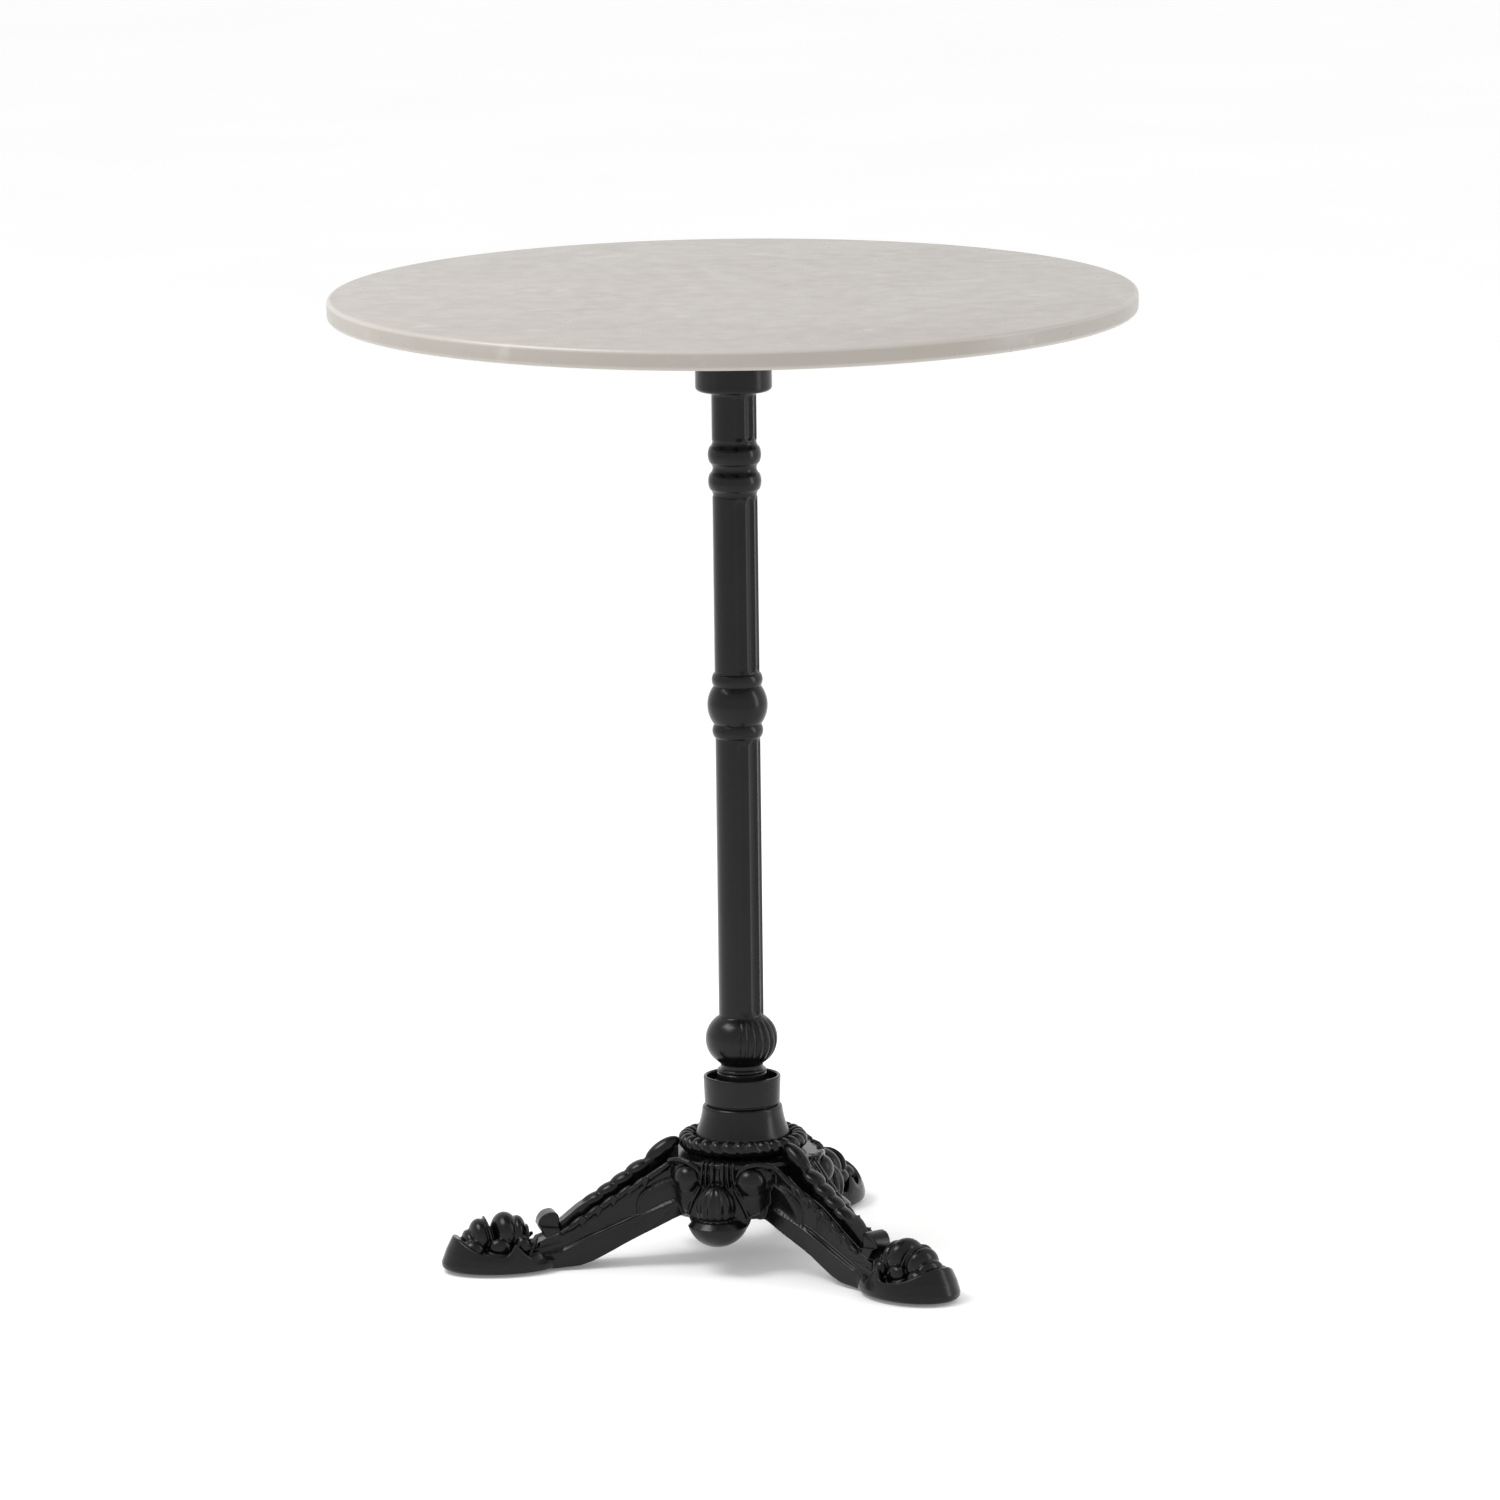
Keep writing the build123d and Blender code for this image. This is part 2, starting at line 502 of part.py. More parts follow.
def foot():
    """Oval foot with the knob and the domed rose on it, along +X."""
    half = PAD_LENGTH / 2
    pad = extrude(Pos(GLIDE_REACH, 0, FOOT_CLEARANCE) * Ellipse(half, PAD_WIDTH / 2), PAD_HEIGHT)
    pad = fillet(pad.edges().group_by(Axis.Z)[-1], PAD_TOP_ROUND)
    rose = Pos(GLIDE_REACH, 0, ROSE_TOP - ROSE_RADIUS) * Sphere(ROSE_RADIUS)
    rose -= Pos(GLIDE_REACH, 0, -ROSE_TOP) * Box(PAD_LENGTH, PAD_WIDTH, 2 * (ROSE_TOP + PAD_HEIGHT / 2))
    lobe = Pos(GLIDE_REACH + ROSE_RADIUS, 0, PAD_HEIGHT + ROSE_LOBE_RADIUS / 2) * Sphere(ROSE_LOBE_RADIUS)
    knob_place = Pos(GLIDE_REACH - KNOB_SETBACK, 0, KNOB_TOP - KNOB_RADIUS)
    knob = knob_place * Rot(90, 0, 0) * Cylinder(KNOB_RADIUS, CREST_WIDTH)
    return pad + [rose, lobe, knob]


def pendant():
    """Panel ornament between two legs, along +X: a bowl, the shell that stands in it and two ears."""
    back = SKIRT_RADIUS - SKIRT_WALL / 2
    centre = BOWL_BOTTOM + BOWL_RADIUS
    bowl = Pos(SKIRT_RADIUS + BOWL_PROUD - BOWL_RADIUS, 0, centre) * Sphere(BOWL_RADIUS)
    above = 2 * BOWL_RADIUS
    bowl -= Pos(SKIRT_RADIUS, 0, centre - BOWL_RIM_DROP + above / 2) * Box(2 * above, above, above)
    bowl -= rod(back, 0, HUB_TOP)
    shell = extrude(Ellipse(SHELL_HEIGHT / 2, SHELL_RADIUS), SKIRT_RADIUS + SHELL_PROUD - back)
    shell = fillet(shell.edges().group_by(Axis.Z)[-1], SHELL_ROUND)
    shell = Pos(back, 0, centre + SHELL_CENTRE_RISE) * Rot(0, 90, 0) * shell
    ear_height = PLATE_TOP - HUB_PLATE_THICKNESS - EAR_CENTRE_DROP
    body = bowl + shell
    for side in (-1, 1):
        ear = Pos((back + SKIRT_RADIUS + EAR_PROUD) / 2, side * EAR_SPREAD, ear_height)
        body += ear * Rot(0, 90, 0) * Cylinder(EAR_RADIUS, SKIRT_RADIUS + EAR_PROUD - back)
    return body


def tripod_base():
    """The base casting: hub, three legs with their feet and three pendants."""
    between_legs = [angle + 180.0 / LEG_COUNT for angle in LEG_ANGLES]
    casting = hub() + (around(pendant(), between_legs) + around(leg() + foot(), LEG_ANGLES))
    casting -= rod(HUB_POCKET_RADIUS, 0, BASE_NUT_SEAT)
    casting -= rod(ROD_HOLE_RADIUS, BASE_NUT_SEAT, HUB_TOP)
    casting -= rod(FOOT_SPIGOT_RADIUS + LOCATING_GAP, HUB_TOP - HUB_SOCKET_DEPTH, HUB_TOP)
    recess = rod(GLIDE_PAD_RADIUS + GLIDE_RECESS_GAP, 0, RECESS_TOP)
    thread = rod(GLIDE_STEM_RADIUS + SLIDE_GAP, RECESS_TOP, GLIDE_STEM_TOP + GLIDE_RECESS_GAP)
    for cut in around(recess + thread, LEG_ANGLES, GLIDE_REACH):
        casting -= cut
    return casting


# ---------------------------------------------------------------- levelling glides
def glide_pad():
    """Nylon foot that turns on the head of its stem."""
    pad = fillet(rod(GLIDE_PAD_RADIUS, 0, GLIDE_PAD_HEIGHT).edges(), GLIDE_PAD_ROUND)
    socket_low = GLIDE_HEAD_FLOOR
    socket_top = socket_low + GLIDE_HEAD_HEIGHT + 2 * GLIDE_HEAD_GAP
    pad -= rod(GLIDE_HEAD_RADIUS + GLIDE_HEAD_GAP, socket_low, socket_top)
    pad -= rod(GLIDE_STEM_RADIUS + GLIDE_HEAD_GAP, socket_top, GLIDE_PAD_HEIGHT)
    return pad


def glide_stem():
    """Screw whose flat head is held in the pad."""
    head_low = GLIDE_HEAD_FLOOR + GLIDE_HEAD_GAP
    stem = rod(GLIDE_HEAD_RADIUS, head_low, head_low + GLIDE_HEAD_HEIGHT)
    stem += rod(GLIDE_STEM_RADIUS, head_low, GLIDE_STEM_TOP)
    return stem


# ---------------------------------------------------------------- write every node
def main():
    export(tabletop(), "tabletop")
    export(top_inserts(), "top_inserts")
    export(spider_pads(), "spider_pads")
    export(spider_washers(), "spider_washers")
    export(spider_screws(), "spider_screws")
    export(top_spider(), "top_spider")
    export(tie_rod(), "tie_rod")
    export(nut(SPIDER_NUT_SEAT + ROD_WASHER_THICKNESS), "rod_top_nut")
    rod_clear = ROD_RADIUS + BOLT_GAP / 2
    seat = SPIDER_NUT_SEAT
    export(tube(ROD_WASHER_RADIUS, rod_clear, seat, seat + ROD_WASHER_THICKNESS), "rod_top_washer")
    seat = BASE_NUT_SEAT
    export(tube(BASE_WASHER_RADIUS, rod_clear, seat - BASE_WASHER_THICKNESS, seat), "rod_base_washer")
    export(lock_washer(), "rod_lock_washer")
    export(nut(BASE_NUT_TOP - NUT_HEIGHT), "rod_base_nut")
    export(column(), "column")
    export(socket_collar(), "socket_collar")
    export(tripod_base(), "tripod_base")
    for number, angle in enumerate(LEG_ANGLES, start=1):
        place = Rot(0, 0, angle) * Pos(GLIDE_REACH, 0, 0)
        export(place * glide_pad(), f"glide_pad_{number}")
        export(place * glide_stem(), f"glide_stem_{number}")


main()
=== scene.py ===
import json
from math import atan2, ceil, cos, hypot, pi, radians, sin, sqrt
import bmesh
import bpy
from mathutils import Matrix, Vector


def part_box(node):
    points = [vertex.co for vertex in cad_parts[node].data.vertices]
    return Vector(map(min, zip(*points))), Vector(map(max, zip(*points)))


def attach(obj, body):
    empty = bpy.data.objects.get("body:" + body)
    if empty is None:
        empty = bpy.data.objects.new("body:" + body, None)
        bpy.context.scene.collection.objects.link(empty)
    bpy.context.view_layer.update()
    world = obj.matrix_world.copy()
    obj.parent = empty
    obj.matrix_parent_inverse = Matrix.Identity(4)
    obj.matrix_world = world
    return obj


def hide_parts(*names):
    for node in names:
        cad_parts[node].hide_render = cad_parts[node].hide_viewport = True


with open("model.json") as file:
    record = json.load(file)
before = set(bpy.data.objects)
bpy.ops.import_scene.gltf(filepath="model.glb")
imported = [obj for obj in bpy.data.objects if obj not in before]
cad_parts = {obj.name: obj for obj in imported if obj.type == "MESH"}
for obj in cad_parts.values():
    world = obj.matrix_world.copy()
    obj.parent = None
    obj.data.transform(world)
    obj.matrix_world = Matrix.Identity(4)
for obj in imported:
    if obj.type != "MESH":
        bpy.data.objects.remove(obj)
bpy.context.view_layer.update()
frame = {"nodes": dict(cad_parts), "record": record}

MM = 0.001
SHARP_ANGLE = radians(38)
BODY = "table"
scene = bpy.context.scene


# ---------------------------------------------------------------- where the frame puts things
def low(node):
    """Lowest height of a CAD node, in metres."""
    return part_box(node)[0][2]


def high(node):
    """Highest height of a CAD node, in metres."""
    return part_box(node)[1][2]


def reach(node):
    """Radius of a turned CAD node about the column, in metres."""
    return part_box(node)[1][0]


def distance_out(node):
    """Distance from the column's axis to the middle of a CAD node, in metres."""
    near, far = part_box(node)
    return hypot((near[0] + far[0]) / 2, (near[1] + far[1]) / 2)


TOP_FACE = high("tabletop")
TOP_UNDERSIDE = low("tabletop")
TOP_RADIUS = reach("tabletop")
DRUM_LOW = low("top_spider")
COLLAR_LOW = low("socket_collar")
COLLAR_TOP = high("socket_collar")
COLLAR_RADIUS = reach("socket_collar")
BULB_RADIUS = reach("column")
HUB_TOP = high("tripod_base")
GLIDE_REACH = distance_out("glide_pad_2")
LEG_TURNS = [radians(a) for a in (180, 300, 60)]
BETWEEN_LEGS = [turn + pi / 3 for turn in LEG_TURNS]


# ---------------------------------------------------------------- mesh helpers
def bow(start, middle, end, count):
    """Points of the arc from start to end through middle, without the start point."""
    (ax, ay), (bx, by), (cx, cy) = start, middle, end
    twice = 2 * (ax * (by - cy) + bx * (cy - ay) + cx * (ay - by))
    sa, sb, sc = ax * ax + ay * ay, bx * bx + by * by, cx * cx + cy * cy
    ox = (sa * (by - cy) + sb * (cy - ay) + sc * (ay - by)) / twice
    oy = (sa * (cx - bx) + sb * (ax - cx) + sc * (bx - ax)) / twice
    radius = hypot(ax - ox, ay - oy)
    first, last = atan2(ay - oy, ax - ox), atan2(cy - oy, cx - ox)
    anticlockwise = twice > 0
    span = (last - first) % (2 * pi) if anticlockwise else -((first - last) % (2 * pi))
    turns = [first + span * (i + 1) / count for i in range(count)]
    return [(ox + radius * cos(t), oy + radius * sin(t)) for t in turns]


def outline(start, *moves):
    """Points along straight moves (x, y) and bowed moves ((x, y), (x, y), count)."""
    points = [start]
    for move in moves:
        if len(move) == 3:
            points += bow(points[-1], move[0], move[1], move[2])
        else:
            points.append(move)
    return points


def spin(bm, profile, steps, closed=False):
    """Turns a (radius, height) profile in mm round the Z axis."""
    verts = [bm.verts.new((r * MM, 0, z * MM)) for r, z in profile]
    pairs = list(zip(verts, verts[1:])) + ([(verts[-1], verts[0])] if closed else [])
    edges = [bm.edges.new(pair) for pair in pairs]
    bmesh.ops.spin(bm, geom=verts + edges, cent=(0, 0, 0), axis=(0, 0, 1), dvec=(0, 0, 0),
                   angle=2 * pi, steps=steps, use_merge=True, use_duplicate=False)
    bmesh.ops.remove_doubles(bm, verts=bm.verts, dist=1e-6)
    bmesh.ops.recalc_face_normals(bm, faces=bm.faces)


def sharpen(bm, limit=SHARP_ANGLE):
    """Smooth shading everywhere but across edges turned by more than limit."""
    for face in bm.faces:
        face.smooth = True
    for edge in bm.edges:
        edge.smooth = not (edge.is_manifold and edge.calc_face_angle(0) > limit)


def finish_piece(bm, name, material, replaced=(), limit=SHARP_ANGLE):
    """Makes an object of a bmesh, shades it, and puts it on the table's body."""
    sharpen(bm, limit)
    mesh = bpy.data.meshes.new(name)
    bm.to_mesh(mesh)
    bm.free()
    mesh.materials.append(material)
    piece = bpy.data.objects.new(name, mesh)
    scene.collection.objects.link(piece)
    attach(piece, BODY)
    if replaced:
        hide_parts(*replaced)
    return piece


def lump(bm, centre, radii, turn=Matrix.Identity(4), fineness=(24, 16)):
    """A rounded lump: a ball scaled to three radii, turned and set at centre, all in mm."""
    size = Matrix.Diagonal((*[r * MM for r in radii], 1.0))
    place = Matrix.Translation(Vector(centre) * MM) @ turn @ size
    around, down = fineness
    bmesh.ops.create_uvsphere(bm, u_segments=around, v_segments=down, radius=1.0, matrix=place)


def prism(bm, side, half_width):
    """A side outline of (x, z) points in mm, thickened to y = +/- half_width(x)."""
    verts = [bm.verts.new((x * MM, 0, z * MM)) for x, z in side]
    face = bm.faces.new(verts)
    grown = bmesh.ops.extrude_face_region(bm, geom=[face])
    for vert in [g for g in grown["geom"] if isinstance(g, bmesh.types.BMVert)]:
        vert.co.y = half_width(vert.co.x / MM) * MM
    for vert in verts:
        vert.co.y = -half_width(vert.co.x / MM) * MM


def blend(a, b, t):
    """From a to b as t goes from 0 to 1, held outside that."""
    t = min(max(t, 0.0), 1.0)
    return a + (b - a) * t * t * (3 - 2 * t)


def turned_copies(bm, shape, turns):
    """Copies one bmesh into another at several turns round the column."""
    mesh = bpy.data.meshes.new("copy")
    shape.to_mesh(mesh)
    for turn in turns:
        placed = mesh.copy()
        placed.transform(Matrix.Rotation(turn, 4, "Z"))
        bm.from_mesh(placed)
        bpy.data.meshes.remove(placed)
    bpy.data.meshes.remove(mesh)
    shape.free()


def chain(bm, points, radius, step=1.1):
    """A rounded ridge through points in mm: small balls set so close that they melt together."""
    for a, b in zip(points, points[1:]):
        start, end = Vector(a), Vector(b)
        count = max(1, ceil((end - start).length / step))
        for i in range(count + 1):
            lump(bm, start.lerp(end, i / count), (radius,) * 3, fineness=(10, 8))


def fuse(bm, voxel, keep, cutter=None):
    """Melts overlapping closed shapes into one skin, thins it to a share and cuts the cutter out."""
    bmesh.ops.recalc_face_normals(bm, faces=bm.faces)
    holder = loose_object(bm, "melt")
    remesh = holder.modifiers.new("remesh", "REMESH")
    remesh.mode = "VOXEL"
    remesh.voxel_size = voxel * MM
    smooth = holder.modifiers.new("smooth", "SMOOTH")
    smooth.factor = 0.5
    smooth.iterations = 3
    thin = holder.modifiers.new("thin", "DECIMATE")
    thin.ratio = keep
    tools = [holder]
    if cutter:
        bmesh.ops.recalc_face_normals(cutter, faces=cutter.faces)
        tools.append(loose_object(cutter, "cutter"))
        cut = holder.modifiers.new("cut", "BOOLEAN")
        cut.operation = "DIFFERENCE"
        cut.solver = "MANIFOLD"
        cut.object = tools[1]
    seen = holder.evaluated_get(bpy.context.evaluated_depsgraph_get())
    melted = bpy.data.meshes.new_from_object(seen)
    fused = bmesh.new()
    fused.from_mesh(melted)
    bpy.data.meshes.remove(melted)
    for tool in tools:
        mesh = tool.data
        bpy.data.objects.remove(tool)
        bpy.data.meshes.remove(mesh)
    return fused


def loose_object(bm, name):
    """A working object made of a bmesh, which is freed."""
    mesh = bpy.data.meshes.new(name)
    bm.to_mesh(mesh)
    bm.free()
    holder = bpy.data.objects.new(name, mesh)
    scene.collection.objects.link(holder)
    return holder


def line_height(line, x):
    """Height of a line of (x, height) points at x, held level past its ends."""
    if x <= line[0][0]:
        return line[0][1]
    for (x0, z0), (x1, z1) in zip(line, line[1:]):
        if x <= x1:
            return z0 + (z1 - z0) * (x - x0) / (x1 - x0)
    return line[-1][1]


# ---------------------------------------------------------------- material helpers
class Finish:
    """A material's node tree with short calls for the nodes that these finishes use."""

    def __init__(self, name):
        self.material = bpy.data.materials.new(name)
        self.material.use_nodes = True
        self.nodes = self.material.node_tree.nodes
        self.links = self.material.node_tree.links
        self.shader = self.nodes["Principled BSDF"]
        self.place = self.nodes.new("ShaderNodeTexCoord").outputs["Object"]

    def join(self, source, target):
        """Wires one socket to another."""
        self.links.new(source, target)

    def stretched(self, scale, turn=(0, 0, 0), shift=(0, 0, 0)):
        """The piece's own coordinates, scaled, turned and shifted."""
        node = self.nodes.new("ShaderNodeMapping")
        node.inputs["Scale"].default_value = scale
        node.inputs["Rotation"].default_value = turn
        node.inputs["Location"].default_value = shift
        self.join(self.place, node.inputs["Vector"])
        return node.outputs["Vector"]

    def noise(self, scale, detail=3.0, rough=0.5, distortion=0.0, where=None):
        """Noise from 0 to 1."""
        node = self.nodes.new("ShaderNodeTexNoise")
        node.inputs["Scale"].default_value = scale
        node.inputs["Detail"].default_value = detail
        node.inputs["Roughness"].default_value = rough
        node.inputs["Distortion"].default_value = distortion
        self.join(where or self.place, node.inputs["Vector"])
        return node.outputs["Fac"]

    def ramp(self, source, *stops):
        """Values or colours at places from 0 to 1 along the source."""
        node = self.nodes.new("ShaderNodeValToRGB")
        marks = node.color_ramp.elements
        while len(marks) < len(stops):
            marks.new(0.5)
        for mark, (place, value) in zip(marks, stops):
            mark.position = place
            mark.color = (*value, 1.0) if isinstance(value, tuple) else (value, value, value, 1.0)
        self.join(source, node.inputs["Fac"])
        return node.outputs["Color"]

    def mixed(self, share, a, b, mode="MIX"):
        """A colour between a and b, or the two combined."""
        node = self.nodes.new("ShaderNodeMix")
        node.data_type = "RGBA"
        node.blend_type = mode
        for source, name in ((share, "Factor"), (a, "A"), (b, "B")):
            socket = node.inputs[name]
            if isinstance(source, bpy.types.NodeSocket):
                self.join(source, socket)
            elif isinstance(source, tuple):
                socket.default_value = (*source, 1.0)
            else:
                socket.default_value = source
        return node.outputs["Result"]

    def bump(self, height, strength, distance, under=None):
        """A normal roughened by a height, over another normal."""
        node = self.nodes.new("ShaderNodeBump")
        node.inputs["Strength"].default_value = strength
        node.inputs["Distance"].default_value = distance
        self.join(height, node.inputs["Height"])
        if under:
            self.join(under, node.inputs["Normal"])
        return node.outputs["Normal"]

    def finish(self, colour=None, rough=None, normal=None, **values):
        """The finished material, with its wires and set values."""
        wires = {"Base Color": colour, "Roughness": rough, "Normal": normal}
        for name, source in wires.items():
            if isinstance(source, bpy.types.NodeSocket):
                self.join(source, self.shader.inputs[name])
            elif source is not None:
                self.shader.inputs[name].default_value = source
        for name, value in values.items():
            self.shader.inputs[name.replace("_", " ").title().replace("Ior", "IOR")].default_value = value
        return self.material


def honed_marble():
    """Warm grey honed marble: soft clouds, short drifting streaks, a few darker flecks and a painted
    highlight along the rounded edges.
    """
    f = Finish("honed_marble")
    drift = f.stretched((1.0, 2.6, 1.0), turn=(0, 0, radians(-18)))
    clouds = f.noise(4.5, detail=4.0, rough=0.55, distortion=0.5, where=drift)
    body = f.ramp(clouds, (0.30, (0.296, 0.267, 0.237)), (0.72, (0.338, 0.307, 0.274)))
    veins = f.noise(9.0, detail=6.0, rough=0.6, distortion=1.4, where=drift)
    streak = f.ramp(veins, (0.485, 0.0), (0.505, 0.75), (0.530, 0.0))
    patches = f.ramp(f.noise(6.0, detail=2.0, where=f.stretched((1, 1, 1), shift=(0.7, 0.2, 0))),
                     (0.50, 0.0), (0.64, 1.0))
    body = f.mixed(f.mixed(1.0, streak, patches, "MULTIPLY"), body, (0.25, 0.218, 0.196))
    flecks = f.ramp(f.noise(38.0, detail=5.0, rough=0.65, where=drift), (0.66, 0.0), (0.74, 0.55))
    body = f.mixed(flecks, body, (0.26, 0.228, 0.202))
    chalk = f.ramp(f.noise(30.0, detail=4.0, where=f.stretched((1, 1.6, 1), shift=(3, 1, 0))),
                   (0.62, 0.0), (0.74, 0.5))
    body = f.mixed(chalk, body, (0.46, 0.43, 0.40))
    # Painted highlight: a paler band on the rounded edges, standing in for light caught by the arris.
    corner = f.nodes.new("ShaderNodeNewGeometry").outputs["Pointiness"]
    body = f.mixed(f.ramp(corner, (0.510, 0.0), (0.540, 1.0)), body, (0.60, 0.575, 0.54))
    rough = f.ramp(f.noise(60.0, detail=3.0), (0.3, 0.27), (0.7, 0.36))
    pits = f.noise(900.0, detail=2.0)
    return f.finish(body, rough, f.bump(pits, 0.05, 0.0004), ior=1.5)


def painted_iron():
    """Black satin paint on a sand casting: grainy skin, soft flow marks, and paler ridges that are a painted
    highlight.
    """
    f = Finish("painted_iron")
    ridge = f.nodes.new("ShaderNodeNewGeometry").outputs["Pointiness"]
    # Painted highlight: in patches, ridges get a paler warm grey, standing in for light caught on the edges.
    ridge_highlight_mask = f.ramp(ridge, (0.53, 0.0), (0.60, 1.0))
    patches = f.ramp(f.noise(38.0, detail=4.0), (0.40, 0.0), (0.62, 1.0))
    painted_ridge_highlight = f.mixed(1.0, ridge_highlight_mask, patches, "MULTIPLY")
    tone = f.ramp(f.noise(24.0, detail=3.0),
                  (0.3, (0.0014, 0.0015, 0.0018)), (0.7, (0.0036, 0.0036, 0.0039)))
    colour = f.mixed(painted_ridge_highlight, tone, (0.022, 0.021, 0.020))
    rough = f.ramp(f.noise(55.0, detail=4.0), (0.3, 0.17), (0.7, 0.28))
    sand = f.noise(1300.0, detail=3.0, rough=0.6)
    flow = f.noise(150.0, detail=2.0)
    skin = f.bump(sand, 0.10, 0.0003, under=f.bump(flow, 0.10, 0.0010))
    return f.finish(colour, rough, skin, specular_ior_level=0.26)


def zinc_plate():
    """Bright zinc on steel: fine turning marks and a slightly patchy, dulled face."""
    f = Finish("zinc_plate")
    tone = f.ramp(f.noise(220.0, detail=3.0), (0.35, (0.42, 0.43, 0.45)), (0.65, (0.58, 0.585, 0.60)))
    rough = f.ramp(f.noise(300.0, detail=3.0), (0.3, 0.26), (0.7, 0.42))
    marks = f.noise(60.0, detail=2.0, where=f.stretched((1.0, 1.0, 60.0)))
    return f.finish(tone, rough, f.bump(marks, 0.12, 0.0002), metallic=1.0)


def turned_brass():
    """Plain turned brass, a little tarnished."""
    f = Finish("turned_brass")
    tone = f.ramp(f.noise(180.0, detail=3.0), (0.35, (0.48, 0.33, 0.13)), (0.65, (0.66, 0.48, 0.22)))
    rough = f.ramp(f.noise(260.0), (0.3, 0.24), (0.7, 0.38))
    return f.finish(tone, rough, f.bump(f.noise(800.0), 0.08, 0.0002), metallic=1.0)


def black_rubber():
    """Matt black rubber with a bloom of grey."""
    f = Finish("black_rubber")
    tone = f.ramp(f.noise(150.0, detail=3.0), (0.35, (0.012, 0.012, 0.012)), (0.7, (0.028, 0.028, 0.028)))
    rough = f.ramp(f.noise(240.0), (0.3, 0.72), (0.7, 0.86))
    return f.finish(tone, rough, f.bump(f.noise(1200.0), 0.2, 0.0003))


def moulded_nylon():
    """Black moulded nylon with a fine spark-eroded grain."""
    f = Finish("moulded_nylon")
    tone = f.ramp(f.noise(200.0, detail=2.0), (0.35, (0.018, 0.018, 0.019)), (0.7, (0.030, 0.030, 0.031)))
    rough = f.ramp(f.noise(300.0), (0.3, 0.46), (0.7, 0.60))
    return f.finish(tone, rough, f.bump(f.noise(1800.0), 0.25, 0.0002))


def studio_paper():
    """White seamless paper of the floor."""
    f = Finish("studio_paper")
    tone = f.ramp(f.noise(3.0), (0.3, (0.95, 0.95, 0.95)), (0.7, (0.97, 0.97, 0.97)))
    return f.finish(tone, 0.9, emission_color=(1.0, 1.0, 1.0, 1.0), emission_strength=0.15)


MARBLE = honed_marble()
IRON = painted_iron()
ZINC = zinc_plate()
BRASS = turned_brass()
RUBBER = black_rubber()
NYLON = moulded_nylon()


# ---------------------------------------------------------------- stone top
def stone_top():
    """Round slab with a pencil-rounded edge above and below."""
    radius, high_z, low_z = TOP_RADIUS / MM, TOP_FACE / MM, TOP_UNDERSIDE / MM
    corner = 3.2
    slant = corner * (1 - sqrt(0.5))
    profile = outline((0, low_z), (radius * 0.5, low_z), (radius - corner, low_z),
                      ((radius - slant, low_z + slant), (radius, low_z + corner), 6),
                      (radius, high_z - corner),
                      ((radius - slant, high_z - slant), (radius - corner, high_z), 6),
                      (radius * 0.5, high_z), (0, high_z))
    bm = bmesh.new()
    spin(bm, profile, 256)
    return finish_piece(bm, "stone_top", MARBLE, ["tabletop"])


# ---------------------------------------------------------------- column
SHAFT = 16.7
UPPER_SHAFT, MIDDLE_SHAFT = 38.0, 134.5
RING_HEIGHT, RING_RADIUS, RING_VALLEY = 20.0, 19.8, 15.7
BEAD_HEIGHT, BEAD_RADIUS, BEAD_GROOVE = 9.4, 19.0, 17.6
BALL_HEIGHT, BALL_RADIUS = 29.0, 22.5
BULB_HEIGHT, BULB_RISE = 36.0, 20.0
NECK_HEIGHT, FLANGE_HEIGHT, FLANGE_RADIUS = 5.0, 12.0, 18.6
CUP_DEPTH = 8.0
FLUTE_START, FLUTE_PITCH, FLUTE_COUNT, FLUTE_DEPTH = -104.0, 30.0, 6, 1.5
LOBE_PITCH, LOBE_DEPTH = 15.0, 1.7


def column_levels():
    """Heights in mm where shafts and mouldings meet, from the drum down to the foot."""
    top, foot = DRUM_LOW / MM, COLLAR_TOP / MM - CUP_DEPTH
    rings = top - UPPER_SHAFT
    rings_low = rings - 2 * RING_HEIGHT
    beads = rings_low - MIDDLE_SHAFT
    ball = beads - BEAD_HEIGHT
    ball_low = ball - BALL_HEIGHT
    beads_low = ball_low - BEAD_HEIGHT
    neck = foot + FLANGE_HEIGHT
    bulb_low = neck + NECK_HEIGHT
    return dict(top=top, rings=rings, rings_low=rings_low, beads=beads, ball=ball, ball_low=ball_low,
                beads_low=beads_low, bulb=bulb_low + BULB_HEIGHT, bulb_low=bulb_low, neck=neck, foot=foot)


def shaft_rows(high_z, low_z):
    """Points down a plain shaft: close together at both ends, where the flutes run out."""
    ends = [0.0, 0.6, 1.2, 1.8, 2.6, 3.4, 4.4, 5.4, 6.6, 8.0]
    rows = [high_z - e for e in ends] + [low_z + e for e in reversed(ends)]
    return [(SHAFT, z) for z in rows]


def flute_cut(turn, from_end):
    """Depth of the flutes at a turn in degrees, from_end mm from the nearer end of a shaft."""
    place = (turn - FLUTE_START) % 360 / FLUTE_PITCH
    if place >= FLUTE_COUNT:
        return 0.0
    across = 2 * (place % 1.0) - 1
    run_out = 3.4 + 3.2 * across * across
    fade = blend(0, 1, (from_end - run_out + 3.0) / 4.0)
    return FLUTE_DEPTH * (1 - across * across) * fade


def lobe_cut(turn, height, levels):
    """Depth between the bulb's lobes at a turn in degrees and a height in mm."""
    place = (turn - FLUTE_START) % 360 / LOBE_PITCH
    if place >= FLUTE_COUNT * FLUTE_PITCH / LOBE_PITCH:
        return 0.0
    inside = min(height - levels["bulb_low"], levels["bulb"] - height)
    fade = blend(0, 1, inside / 6.0)
    return LOBE_DEPTH * (1 - sin(pi * (place % 1.0)) ** 0.7) * fade


